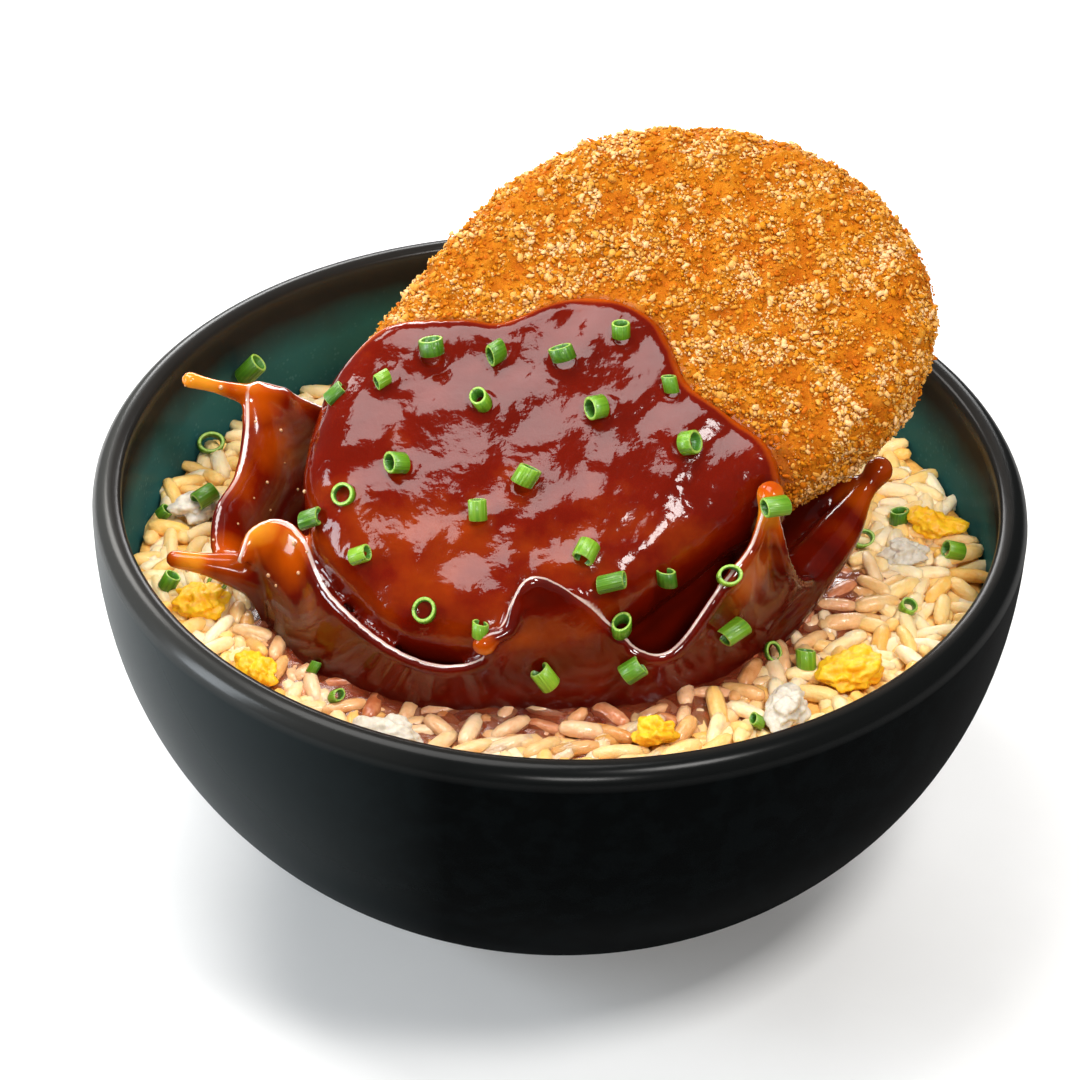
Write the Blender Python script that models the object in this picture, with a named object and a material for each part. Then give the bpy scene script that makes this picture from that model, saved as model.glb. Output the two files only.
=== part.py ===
"""A bowl of fried rice with a breaded chicken chop and a crown of brown sauce.

Lengths are millimetres here and become metres in the scene. The origin is the
middle of the bowl's foot, +Z is up, and the picture looks along +Y from above.
"""

import math
import random

import bmesh
import bpy
from mathutils import Matrix, Vector, noise
from mathutils.bvhtree import BVHTree

MM = 0.001
GAP = 0.3

# Bowl
BOWL_RADIUS = 96.3
BOWL_HEIGHT = 89.5
BOWL_WIDEST = 85.7
BELLY_DEPTH = 90.6
BELLY_SQUARENESS = 2.18
BOWL_INSIDE = 90.3
INSIDE_STRAIGHT = 77.4
INSIDE_SQUARENESS = 2.5
BOWL_FLOOR = 9.0
FOOT_RADIUS = 42.4
FOOT_RECESS = 37.0
FOOT_RECESS_DEPTH = 2.2
BOWL_SIDES = 48
# The foot and the lip are (radius, height) points, and the walls have levels.
FOOT = [(FOOT_RECESS, FOOT_RECESS_DEPTH), (38.4, 0.0), (FOOT_RADIUS, 0.0), (44.0, 2.9)]
LIP = [(95.8, 87.7), (94.4, 89.1), (92.6, BOWL_HEIGHT), (91.0, 89.3), (90.3, 88.3)]
OUTSIDE_LEVELS = (8, 16, 27, 41, 57, 73, BOWL_WIDEST)
INSIDE_LEVELS = (76, 66, 55, 41, 27, 17, 11)

# Chicken chop, a tilted oval patty with a round edge
CHOP_CENTRE = Vector((11.0, 6.0, 109.6))
CHOP_TILT = math.radians(30)
CHOP_TURN = math.radians(10)
CHOP_RADIUS = 56.5
CHOP_OVAL = 11.7
CHOP_OVAL_ANGLE = math.radians(49)
CHOP_EGG = 3.7
CHOP_EGG_ANGLE = math.radians(5)
CHOP_HALF = 9.0
CHOP_DOME = 1.2
CHOP_SIDES = 36
CHOP_FLATS = 4
CHOP_BENDS = 6
CRAG = 1.5
CRAG_SIZE = 4.0
CRAG_START = 2.5

# Rice
RICE_LEVEL = 65.0
RICE_TILT = Vector((2.0, -2.5))
RICE_LUMP = 18.0
RICE_RINGS_AT = (0.14, 0.28, 0.42, 0.55, 0.68, 0.8, 0.9, 1.0)
MOUND_CENTRE = Vector((12.0, 28.0))
MOUND_REACH = Vector((38.0, 44.0))
MOUND_HEIGHT = 60.0
GRAIN_LENGTH = 9.0
GRAIN_WIDTH = 2.9
GRAIN_SIDES = 4
GRAIN_SPACING = 12.5
GRAIN_CLEARANCE = 0.7
GRAIN_TRIES = 2500

# Sauce. The coat on the chop ends in a rounded lip, and its edge is given on
# the chop's face as (across, uphill) from the chop's middle.
COAT = 3.0
COAT_ROOT = 1.5
COAT_LIP = 3.6
COAT_MESH = (110, 14, 10)
COAT_DETAIL = 0.13
COAT_EDGE = [
    (-62, -14), (-50, -3), (-44, 1), (-32, 3), (-24, 3), (-16, 8), (-9, 11), (-1, 11),
    (6, 8), (10, 3), (15, -5), (25, -11), (33, -16), (37, -25), (38, -40), (30, -70),
]
POOL_LEVEL = 69.5
POOL_DEPTH = 9.0
POOL_EDGE = [
    (-44, 26), (-50, 14), (-55, 2), (-59, -12), (-58, -23), (-52, -33), (-44, -41),
    (-33, -46), (-20, -49), (-6, -49), (8, -48), (20, -45), (31, -38), (40, -28),
    (50, -13), (55, -2), (50, 10), (20, 22), (-16, 30), (-34, 32),
]
FINGER_SIDES = 7
SAUCE_DETAIL = 0.5
SHEET_ROOT = 64.0
SHEET_FOOT = 2.4
SHEET_LIP = 1.4
SHEET_LEVELS = (0, 0.4, 0.75, 0.95)
# Each station of a sheet is its foot (x, y) and its rim (x, y, z).
LEFT_SHEET = [
    ((-43, 27), (-45, 28, 84)),
    ((-48, 22), (-55, 27, 89)),
    ((-52, 15), (-62, 25, 92)),
    ((-55, 8), (-67, 21, 93)),
    ((-57, 1), (-67, 13, 87)),
    ((-59, -6), (-68, 3, 83)),
    ((-60, -12), (-70, -7, 82)),
    ((-60, -17), (-70, -15, 78)),
    ((-59, -22), (-66, -21, 75)),
]
FRONT_SHEET = [
    ((-60, -16), (-64, -23, 82)),
    ((-58, -22), (-62, -20, 86)),
    ((-55, -28), (-57, -19, 88)),
    ((-51, -34), (-52, -23, 87)),
    ((-45, -40), (-47, -33, 82)),
    ((-34, -46), (-35, -43, 77)),
    ((-22, -49), (-22, -47, 75)),
    ((-14, -49), (-15, -47, 77)),
    ((-9, -49), (-10, -49, 88)),
    ((-4, -49), (-6, -48, 97)),
    ((1, -49), (0, -47, 95)),
    ((8, -48), (8, -46, 87)),
    ((17, -46), (17, -45, 76)),
    ((25, -42), (25, -45, 76)),
    ((31, -39), (32, -41, 85)),
    ((37, -33), (38, -36, 94)),
    ((41, -28), (41, -32, 105)),
    ((45, -22), (45, -31, 92)),
    ((49, -16), (49, -22, 80)),
    ((52, -10), (54, -12, 74)),
]
# Sauce that runs off the chop's raised edge into the pool
CURTAIN = [
    ((2, -43), (2, -43, 74)),
    ((12, -39), (13, -39, 79)),
    ((20, -34), (21, -34, 84)),
    ((28, -28), (30, -28, 89)),
    ((35, -20), (37, -22, 94)),
    ((39, -12), (42, -15, 97)),
]
# A finger is a run of (x, y, z, radius), and it ends in a round drop.
FINGERS = [
    [(-63, 23, 91, 2.4), (-69, 20, 94, 2.4), (-74, 18, 97, 1.7), (-78, 17, 98, 2.0)],
    [(-61, -19, 74, 3.0), (-68, -19, 77, 2.4), (-74, -20, 79, 1.6), (-78, -20, 79, 1.9)],
    [(-8, -49, 91, 1.8), (-11, -50, 86, 1.6), (-13, -50, 82, 1.4), (-14, -50, 80, 2.2)],
    [(40, -31, 98, 2.0), (41, -31, 104, 2.3), (41, -31, 108, 2.7)],
    [(40, -24, 66, 6.5), (52, -11, 74, 5.4), (61, 1, 81, 4.0), (66, 7, 87, 3.0)],
]

# Egg lumps on the rice: kind, middle (x, y), length, width, heading in degrees
EGG_THICK = 5.2
EGGS = [
    ("yolk", 60, -37, 13, 9, 35), ("yolk", 80, 15, 12, 8, -20), ("yolk", -73, -18, 11, 8, 10),
    ("yolk", -60, -41, 9, 7, -30), ("yolk", 20, -59, 8, 5, 10), ("yolk", 63, 26, 8, 5, 30),
    ("white", 46, -50, 12, 8, 60), ("white", -33, -59, 13, 8, -15), ("white", 73, 5, 10, 6, 20),
    ("white", -77, 17, 11, 8, 40),
]

# Spring onion rings. Each lies where its sight line from the viewpoint, which
# passes through (x, y) on the level of the rice, first meets the food. Its axis
# has a bearing in the picture and a lean away from the viewer, in degrees, and
# then come its diameter and length.
VIEWPOINT = Vector((-4.0, -605.0, 520.0))
VIEW_RISE = math.radians(36.5)
SIGHT_LEVEL = 68.0
RING_WALL = 0.75
RING_SIDES = 6
RING_SINK = 1.0
SAUCE_RINGS = [
    (-30, 76, 100, 75, 6.2, 3.6), (-15, 75, 215, 60, 4.8, 4.0), (-40, 63, 215, 65, 3.6, 3.6),
    (-18, 56, 130, 50, 4.6, 3.2), (-50, 57, 45, 85, 3.2, 4.8), (-35, 30, 180, 60, 5.0, 4.0),
    (-46, 19, 155, 25, 5.6, 1.8), (-51, 10, 20, 80, 4.2, 4.4), (-7, 27, 60, 75, 5.2, 4.6),
    (0, 75, 115, 70, 5.4, 3.4), (13, 86, 95, 65, 4.4, 3.4), (8, 54, 195, 55, 5.4, 4.0),
    (24, 65, 105, 70, 3.4, 4.0), (28, 42, 10, 50, 5.6, 3.6), (-17, 14, 95, 80, 3.8, 4.8),
    (-41, -2, 20, 65, 4.0, 4.2), (-27, -20, 130, 20, 5.4, 1.8), (-15, -26, 90, 75, 4.2, 3.6),
    (6, 1, 245, 65, 5.0, 4.6), (11, -8, 15, 85, 4.0, 6.0), (22, -5, 100, 65, 4.4, 3.8),
    (36, -3, 60, 15, 5.0, 2.4), (12, -23, 95, 40, 5.0, 3.4), (16, -35, 35, 75, 5.0, 5.0),
    (-2, -39, 130, 75, 4.6, 5.0), (35, -22, 215, 75, 4.8, 6.0), (46, 22, 190, 75, 4.6, 5.4),
]
RICE_RINGS = [
    (64, 5, 60, 20, 4.8, 2.0), (44, -34, 20, 20, 4.6, 1.8), (51, -37, 95, 80, 4.4, 4.4),
    (-80, -18, 60, 70, 4.0, 4.0), (73, 14, 90, 60, 4.2, 3.4), (84, 3, 170, 70, 4.2, 4.4),
    (72, -18, 60, 40, 4.0, 2.4),
]
EGG_RINGS = [(-77, 16, 215, 75, 4.6, 5.4)]
WALL_RINGS = [(-73, 68, 45, 75, 4.6, 5.6), (-79, 38, 60, 20, 5.4, 2.2)]


def clear_scene():
    for old in list(bpy.data.objects):
        bpy.data.objects.remove(old, do_unlink=True)


def paint(name, colour, roughness):
    """A plain Principled material."""
    made = bpy.data.materials.new(name)
    made.use_nodes = True
    shader = made.node_tree.nodes["Principled BSDF"]
    shader.inputs["Base Color"].default_value = (*colour, 1.0)
    shader.inputs["Roughness"].default_value = roughness
    shader.inputs["Metallic"].default_value = 0.0
    return made


def loft(rings):
    """A closed surface through rings of points. A ring of one point is a tip."""
    mesh = bmesh.new()
    loops = [[mesh.verts.new(point) for point in ring] for ring in rings]
    for lower, upper in zip(loops, loops[1:]):
        for i in range(max(len(lower), len(upper))):
            corners = (
                lower[i % len(lower)], lower[(i + 1) % len(lower)],
                upper[(i + 1) % len(upper)], upper[i % len(upper)],
            )
            mesh.faces.new(dict.fromkeys(corners))
    for end in (loops[0], loops[-1]):
        if len(end) > 2:
            mesh.faces.new(end)
    bmesh.ops.triangulate(mesh, faces=mesh.faces)
    bmesh.ops.recalc_face_normals(mesh, faces=mesh.faces)
    return mesh


def add_object(name, mesh, material=None):
    """Puts a bmesh in millimetres into the scene, in metres."""
    bmesh.ops.scale(mesh, vec=(MM, MM, MM), verts=mesh.verts)
    data = bpy.data.meshes.new(name)
    mesh.to_mesh(data)
    mesh.free()
    if material:
        data.materials.append(material)
    made = bpy.data.objects.new(name, data)
    bpy.context.scene.collection.objects.link(made)
    return made


def apply_modifier(body, modifier):
    with bpy.context.temp_override(object=body, active_object=body):
        bpy.ops.object.modifier_apply(modifier=modifier.name)


def combine(body, others, operation):
    """Joins other objects to a body, or cuts them out of it, and removes them.

    The solver is MANIFOLD, because EXACT leaves open edges where grains cross.
    """
    group = bpy.data.collections.new("operands")
    for other in others:
        bpy.context.scene.collection.objects.unlink(other)
        group.objects.link(other)
    cut = body.modifiers.new("combine", "BOOLEAN")
    cut.operation = operation
    cut.solver = "MANIFOLD"
    cut.operand_type = "COLLECTION"
    cut.collection = group
    apply_modifier(body, cut)
    for other in others:
        bpy.data.objects.remove(other, do_unlink=True)
    bpy.data.collections.remove(group)


def thin_out(body, share):
    """Leaves this share of the body's triangles, most of them where it curves."""
    thin = body.modifiers.new("thin", "DECIMATE")
    thin.ratio = share
    apply_modifier(body, thin)


def keep_largest(body):
    """Drops the scraps that a cut leaves behind."""
    mesh = bmesh.new()
    mesh.from_mesh(body.data)
    left = set(mesh.verts)
    pieces = []
    while left:
        found = {left.pop()}
        edge = set(found)
        while edge:
            edge = {e.other_vert(v) for v in edge for e in v.link_edges} & left
            left -= edge
            found |= edge
        pieces.append(found)
    pieces.sort(key=len)
    for scrap in pieces[:-1]:
        bmesh.ops.delete(mesh, geom=list(scrap), context="VERTS")
    mesh.to_mesh(body.data)
    mesh.free()


def tree_of(body):
    """The body's surface in millimetres, for sight lines and clearances."""
    points = [v.co / MM for v in body.data.vertices]
    return BVHTree.FromPolygons(points, [p.vertices[:] for p in body.data.polygons])


def smooth_run(points, steps):
    """Points on a Catmull-Rom curve through the given ones."""
    ends = [points[0] * 2 - points[1], *points, points[-1] * 2 - points[-2]]
    run = []
    for a, b, c, d in zip(ends, ends[1:], ends[2:], ends[3:]):
        for step in range(steps):
            t = step / steps
            cubic = (b * 3 - a - c * 3 + d) * t**3
            square = (a * 2 - b * 5 + c * 4 - d) * t**2
            run.append(b + ((c - a) * t + square + cubic) * 0.5)
    run.append(points[-1].copy())
    return run


def bowl_outside(z):
    """Radius of the outer wall, fullest just below the lip."""
    down = (BOWL_WIDEST - z) / BELLY_DEPTH
    return BOWL_RADIUS * (1 - down**BELLY_SQUARENESS) ** (1 / BELLY_SQUARENESS)


def bowl_inside(z):
    """Radius of the inner wall, which is straight near the lip."""
    down = max(INSIDE_STRAIGHT - z, 0) / (INSIDE_STRAIGHT - BOWL_FLOOR)
    return BOWL_INSIDE * max(1 - down**INSIDE_SQUARENESS, 0) ** (1 / INSIDE_SQUARENESS)


def circle(radius, z, sides=BOWL_SIDES):
    turns = [2 * math.pi * i / sides for i in range(sides)]
    return [(radius * math.cos(a), radius * math.sin(a), z) for a in turns]


def make_bowl(material):
    outside = [(bowl_outside(z), z) for z in OUTSIDE_LEVELS]
    inside = [(bowl_inside(z), z) for z in INSIDE_LEVELS]
    rings = [[(0, 0, FOOT_RECESS_DEPTH)]]
    rings += [circle(r, z) for r, z in FOOT + outside + LIP + inside]
    rings += [[(0, 0, BOWL_FLOOR)]]
    return add_object("bowl", loft(rings), material)


def chop_axes():
    """Across, uphill and outward directions of the chop's face."""
    uphill = Vector((math.sin(CHOP_TURN), math.cos(CHOP_TURN), 0)) * math.cos(CHOP_TILT)
    uphill.z = math.sin(CHOP_TILT)
    across = Vector((math.cos(CHOP_TURN), -math.sin(CHOP_TURN), 0))
    return across, uphill, across.cross(uphill)


def chop_point(u, v, w):
    across, uphill, outward = chop_axes()
    return CHOP_CENTRE + across * u + uphill * v + outward * w


def chop_outline(angle):
    oval = CHOP_OVAL * math.cos(2 * (angle - CHOP_OVAL_ANGLE))
    return CHOP_RADIUS + oval + CHOP_EGG * math.cos(3 * (angle - CHOP_EGG_ANGLE))


def chop_section(flats, bends):
    """(share of the flat face, edge angle) from the top middle to the bottom middle."""
    top = [(i / flats, math.pi / 2) for i in range(flats)]
    edge = [(1.0, math.pi * (0.5 - i / bends)) for i in range(bends + 1)]
    return top + edge + [(share, -angle) for share, angle in reversed(top)]


def chop_loft(sides, flats, bends, thickness=None):
    """The patty, grown outward by thickness(u, v, w) at each point."""
    rings = []
    for share, bend in chop_section(flats, bends):
        ring = []
        for i in range(sides if share else 1):
            angle = 2 * math.pi * i / sides
            reach = (chop_outline(angle) - CHOP_HALF) * share
            dome = CHOP_DOME * (1 - share**2) * math.copysign(1, bend)
            u = reach * math.cos(angle) + CHOP_HALF * math.cos(bend) * math.cos(angle)
            v = reach * math.sin(angle) + CHOP_HALF * math.cos(bend) * math.sin(angle)
            w = CHOP_HALF * math.sin(bend) + dome
            grow = thickness(u, v, w) if thickness else 0
            u += grow * math.cos(bend) * math.cos(angle)
            v += grow * math.cos(bend) * math.sin(angle)
            w += grow * math.sin(bend)
            ring.append(chop_point(u, v, w))
        rings.append(ring)
    return loft(rings)


def inside_coat(u, v):
    """Distance inside the coat's edge on the chop's face, negative outside it."""
    spot = Vector((u, v))
    corners = [Vector(c) for c in COAT_EDGE]
    nearest = 1e9
    for a, b in zip(corners, corners[1:]):
        t = max(0, min(1, (spot - a).dot(b - a) / (b - a).length_squared))
        nearest = min(nearest, (spot - a - (b - a) * t).length)
    far = Vector((0, -2 * CHOP_RADIUS))
    ring = corners + [corners[-1] + far, corners[0] + far]
    crossings = 0
    for a, b in zip(ring, ring[1:] + ring[:1]):
        if (a.y > v) != (b.y > v) and u < a.x + (b.x - a.x) * (v - a.y) / (b.y - a.y):
            crossings += 1
    return nearest if crossings % 2 else -nearest


def make_chop(material):
    mesh = chop_loft(CHOP_SIDES, CHOP_FLATS, CHOP_BENDS)
    across, uphill, outward = chop_axes()

    def bare(point):
        away = point - CHOP_CENTRE
        return inside_coat(away.dot(across), away.dot(uphill)) < -CRAG_START

    crust = [e for e in mesh.edges if all(bare(v.co) for v in e.verts)]
    bmesh.ops.subdivide_edges(mesh, edges=crust, cuts=1, use_grid_fill=True)
    bmesh.ops.triangulate(mesh, faces=mesh.faces)
    mesh.normal_update()
    for vert in mesh.verts:
        lift = CRAG * noise.noise(vert.co / CRAG_SIZE)
        if vert.normal.dot(outward) < -0.3:
            lift = min(lift, 0)
        if bare(vert.co):
            vert.co += vert.normal * lift
    return add_object("chicken_chop", mesh, material)


def chop_underside(x, y):
    """Height of the chop's lower face above (x, y), taken as endless."""
    outward = chop_axes()[2]
    base = CHOP_CENTRE - outward * (CHOP_HALF + CHOP_DOME)
    return base.z - ((x - base.x) * outward.x + (y - base.y) * outward.y) / outward.z


def rice_top(x, y):
    """Level rice with a mound that the chop leans on."""
    away = math.hypot((x - MOUND_CENTRE.x) / MOUND_REACH.x, (y - MOUND_CENTRE.y) / MOUND_REACH.y)
    mound = MOUND_HEIGHT * max(1 - away**2, 0) ** 1.2
    level = RICE_LEVEL + RICE_TILT.dot(Vector((x, y))) / BOWL_RADIUS
    level += noise.noise(Vector((x, y, 0)) / RICE_LUMP)
    return level + min(mound, max(chop_underside(x, y) - GAP - level, 0))


def make_rice_core(material):
    rings = [[(0, 0, rice_top(0, 0))]]
    for share in RICE_RINGS_AT:
        ring = []
        for x, y, _ in circle(BOWL_INSIDE, 0):
            edge = (bowl_inside(rice_top(x, y)) - GAP * 1.5) / BOWL_INSIDE
            spot = Vector((x, y)) * edge * share
            ring.append((*spot, rice_top(*spot)))
        rings.append(ring)
    for z in INSIDE_LEVELS[2:]:
        rings.append(circle(bowl_inside(z) - GAP, z + GAP))
    rings.append([(0, 0, BOWL_FLOOR + GAP * 2)])
    return add_object("rice", loft(rings), material)


def grain(place, heading, pitch, length):
    """A grain with four long sides and two blunt ends."""
    turn = Matrix.Rotation(heading, 3, "Z") @ Matrix.Rotation(pitch, 3, "Y")
    rings = [[turn @ Vector((-length / 2, 0, 0)) + place]]
    for reach, width in ((-0.3, 0.92), (0.28, 1.0)):
        ring = []
        for i in range(GRAIN_SIDES):
            angle = 2 * math.pi * (i + 0.5) / GRAIN_SIDES
            side = GRAIN_WIDTH / 2 * width
            spot = Vector((reach * length, side * math.cos(angle), side * math.sin(angle)))
            ring.append(turn @ spot + place)
        rings.append(ring)
    rings.append([turn @ Vector((length / 2, 0, 0)) + place])
    return loft(rings)


def make_grains(trees):
    """Grains spread evenly over the open rice, clear of the sauce, egg and wall."""
    dice = random.Random(7)
    placed = []
    grains = []
    for _ in range(GRAIN_TRIES):
        bearing = dice.uniform(0, 2 * math.pi)
        reach = BOWL_RADIUS * math.sqrt(dice.uniform(0.02, 1))
        heading = dice.uniform(0, math.pi)
        pitch = dice.uniform(-0.3, 0.3)
        length = GRAIN_LENGTH * dice.uniform(0.8, 1.05)
        x = reach * math.cos(bearing)
        y = reach * math.sin(bearing)
        place = Vector((x, y, rice_top(x, y) + 0.5))
        if any((place - other).length < GRAIN_SPACING for other in placed):
            continue
        made = grain(place, heading, pitch, length)
        points = [v.co for v in made.verts]
        room = min(bowl_inside(p.z) - math.hypot(p.x, p.y) for p in points)
        headroom = min(chop_underside(p.x, p.y) - p.z for p in points)
        near = min(tree.find_nearest(p)[3] for p in points for tree in trees)
        if min(room, headroom, near) < GRAIN_CLEARANCE:
            made.free()
            continue
        placed.append(place)
        grains.append(add_object("grain", made))
    return grains


def view_axes():
    toward = Vector((0, -math.cos(VIEW_RISE), math.sin(VIEW_RISE)))
    right = Vector((1, 0, 0))
    return right, toward.cross(right), toward


def onion_ring(spot, normal, ring):
    """A short tube of spring onion, a little sunk into what it lies on."""
    _, _, bearing, lean, diameter, length = ring
    right, upward, toward = view_axes()
    bearing = math.radians(bearing)
    lean = math.radians(lean)
    axis = toward * math.cos(lean)
    axis += (right * math.cos(bearing) + upward * math.sin(bearing)) * math.sin(lean)
    tilt = axis.dot(normal)
    reach = length / 2 * abs(tilt) + diameter / 2 * math.sqrt(max(1 - tilt**2, 0))
    centre = spot + normal * (reach - RING_SINK)
    turn = axis.to_track_quat("Z", "Y").to_matrix()
    corners = []
    for radius, z in (
        (diameter / 2, -length / 2), (diameter / 2, length / 2),
        (diameter / 2 - RING_WALL, length / 2), (diameter / 2 - RING_WALL, -length / 2),
    ):
        corners.append([turn @ Vector(p) + centre for p in circle(radius, z, RING_SIDES)])
    mesh = bmesh.new()
    loops = [[mesh.verts.new(p) for p in corner] for corner in corners]
    for lower, upper in zip(loops, loops[1:] + loops[:1]):
        for i in range(RING_SIDES):
            j = (i + 1) % RING_SIDES
            mesh.faces.new((lower[i], lower[j], upper[j], upper[i]))
    bmesh.ops.recalc_face_normals(mesh, faces=mesh.faces)
    return mesh


def rings_on(body, rings):
    """Rings of spring onion, each where its sight line meets the body."""
    surface = tree_of(body)
    made = []
    for ring in rings:
        through = Vector((ring[0], ring[1], SIGHT_LEVEL))
        sight = (through - VIEWPOINT).normalized()
        spot, normal, _, _ = surface.ray_cast(VIEWPOINT, sight)
        made.append(add_object("ring", onion_ring(spot, normal, ring)))
    return made


def coat_thickness(u, v, w):
    """Full inside the coat's edge, and below the crust outside it."""
    if w < -CHOP_HALF + 0.5:
        return -COAT_ROOT
    rise = max(0, min(1, inside_coat(u, v) / COAT_LIP + 1 / 3))
    lump = 0.5 * noise.noise(Vector((u, v, w)) / 14)
    return (COAT + lump + COAT_ROOT) * math.sqrt(rise * (2 - rise)) - COAT_ROOT


def make_coat():
    coat = add_object("coat", chop_loft(*COAT_MESH, coat_thickness))
    thin_out(coat, COAT_DETAIL)
    return coat


def make_pool():
    edge = [Vector(p) for p in POOL_EDGE]
    middle = sum(edge, Vector((0, 0))) / len(edge)
    rings = [[(*middle, POOL_LEVEL)]]
    for share, z in ((0.6, POOL_LEVEL), (0.97, POOL_LEVEL - 0.5), (1.0, POOL_LEVEL - POOL_DEPTH)):
        rings.append([(*(middle + (p - middle) * share), z) for p in edge])
    rings.append([(*middle, POOL_LEVEL - POOL_DEPTH)])
    return add_object("sauce", loft(rings))


def make_sheet(stations):
    """A thrown up sheet of sauce between a line of feet and a thick wavy rim."""
    feet = smooth_run([Vector((*foot, SHEET_ROOT)) for foot, _ in stations], 2)
    rims = smooth_run([Vector(rim) for _, rim in stations], 2)
    rings = []
    for i, (foot, rim) in enumerate(zip(feet, rims)):
        before = max(i - 1, 0)
        after = min(i + 1, len(feet) - 1)
        along = (feet[after] - feet[before] + rims[after] - rims[before]).normalized()
        knee = Vector((*(foot * 0.8 + rim * 0.2).xy, foot.z * 0.35 + rim.z * 0.65))
        outer = []
        inner = []
        for t in SHEET_LEVELS:
            spot = foot * (1 - t) ** 2 + knee * 2 * t * (1 - t) + rim * t**2
            rise = ((knee - foot) * (1 - t) + (rim - knee) * t).normalized()
            across = along.cross(rise).normalized()
            half = SHEET_FOOT + (SHEET_LIP - SHEET_FOOT) * min(t * 1.5, 1)
            outer.append(spot + across * half)
            inner.append(spot - across * half)
        tip = rim + rise * SHEET_LIP * 0.6
        rings.append([*outer, tip, *reversed(inner)])
    return add_object("sheet", loft(rings))


def make_finger(stations):
    """A round finger of sauce along a curve, with a dome at each end."""
    spots = smooth_run([Vector(s[:3]) for s in stations], 2)
    sizes = smooth_run([Vector((s[3], 0)) for s in stations], 2)
    rings = [[spots[0]]]
    for i, (spot, size) in enumerate(zip(spots, sizes)):
        along = spots[min(i + 1, len(spots) - 1)] - spots[max(i - 1, 0)]
        turn = along.to_track_quat("Z", "Y").to_matrix()
        rings.append([turn @ Vector(p) + spot for p in circle(size.x, 0, FINGER_SIDES)])
    last = stations[-1][3]
    dome = circle(last * 0.7, last * 0.7, FINGER_SIDES)
    rings.append([turn @ Vector(p) + spots[-1] for p in dome])
    rings.append([turn @ Vector((0, 0, last)) + spots[-1]])
    return add_object("finger", loft(rings))


def room_for(body, outward, upward):
    """A copy of a body grown by these gaps, to cut its neighbours clear of it."""
    mesh = bmesh.new()
    mesh.from_mesh(body.data)
    mesh.normal_update()
    for vert in mesh.verts:
        vert.co = (vert.co + vert.normal * outward * MM) / MM
        vert.co.z += upward
    return add_object("room", mesh)


def make_sauce(chop, rice, material):
    sauce = make_pool()
    sauce.data.materials.append(material)
    joined = [make_coat()]
    joined += [make_sheet(stations) for stations in (LEFT_SHEET, FRONT_SHEET, CURTAIN)]
    joined += [make_finger(stations) for stations in FINGERS]
    combine(sauce, joined, "UNION")
    thin_out(sauce, SAUCE_DETAIL)
    combine(sauce, [room_for(chop, GAP, 0), room_for(rice, 0, GAP * 1.4)], "DIFFERENCE")
    keep_largest(sauce)
    combine(sauce, rings_on(sauce, SAUCE_RINGS), "UNION")
    return sauce


def make_egg(name, egg, surface, material):
    """A torn lump of cooked egg that lies on the rice."""
    _, x, y, length, width, heading = egg
    mesh = bmesh.new()
    bmesh.ops.create_icosphere(mesh, subdivisions=2, radius=1)
    turn = Matrix.Rotation(math.radians(heading), 3, "Z")
    place = Vector((x, y, 0))
    lowest = 1e9
    for vert in mesh.verts:
        rough = 1 + 0.35 * noise.noise(vert.co * 1.6 + place)
        spot = vert.co * Vector((length, width, EGG_THICK)) / 2
        vert.co = turn @ spot * rough + place
        below = surface.ray_cast(Vector((*vert.co.xy, BOWL_HEIGHT)), Vector((0, 0, -1)))[0]
        lowest = min(lowest, vert.co.z - below.z)
    bmesh.ops.translate(mesh, vec=(0, 0, GAP * 2 - lowest), verts=mesh.verts)
    return add_object(name, mesh, material)


def make_wall_ring(name, bowl, ring, material):
    """A ring of spring onion that clings to the bowl's inner wall."""
    surface = tree_of(bowl)
    through = Vector((ring[0], ring[1], SIGHT_LEVEL))
    sight = (through - VIEWPOINT).normalized()
    spot, normal, _, _ = surface.ray_cast(VIEWPOINT, sight)
    mesh = onion_ring(spot + normal * (RING_SINK + GAP), normal, ring)
    return add_object(name, mesh, material)


def smooth_faces(body):
    body.data.shade_smooth()
    body.data.set_sharp_from_angle(angle=math.radians(40))


def main():
    clear_scene()
    glaze = paint("bowl_glaze", (0.012, 0.016, 0.018), 0.45)
    crust = paint("breadcrumb_crust", (0.72, 0.30, 0.05), 0.75)
    brown = paint("brown_sauce", (0.16, 0.018, 0.006), 0.15)
    cream = paint("cooked_rice", (0.78, 0.60, 0.38), 0.5)
    yolk = paint("egg_yolk", (0.85, 0.52, 0.06), 0.5)
    white = paint("egg_white", (0.86, 0.82, 0.74), 0.45)
    green = paint("spring_onion", (0.12, 0.42, 0.04), 0.4)

    bowl = make_bowl(glaze)
    chop = make_chop(crust)
    rice = make_rice_core(cream)
    sauce = make_sauce(chop, rice, brown)
    surface = tree_of(rice)
    counts = {"yolk": 0, "white": 0}
    lumps = []
    for egg in EGGS:
        counts[egg[0]] += 1
        name = f"egg_{egg[0]}_{counts[egg[0]]}"
        lumps.append(make_egg(name, egg, surface, yolk if egg[0] == "yolk" else white))
    combine(lumps[-1], rings_on(lumps[-1], EGG_RINGS), "UNION")
    clinging = []
    for i, ring in enumerate(WALL_RINGS, 1):
        clinging.append(make_wall_ring(f"spring_onion_{i}", bowl, ring, green))
    trees = [tree_of(body) for body in (sauce, *lumps)]
    toppings = rings_on(rice, RICE_RINGS)
    combine(rice, make_grains(trees) + toppings, "UNION")
    combine(rice, [room_for(lump, GAP, 0) for lump in lumps], "DIFFERENCE")
    keep_largest(rice)
    for body in (bowl, chop, rice, sauce, *lumps, *clinging):
        smooth_faces(body)


main()
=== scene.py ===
"""The looks of a bowl of chicken chop rice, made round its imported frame.

Lengths are millimetres and become metres where a mesh or a light is made. The
bowl stands on the floor at the origin, and the picture looks along +Y from above.
"""

import math
import random

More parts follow.
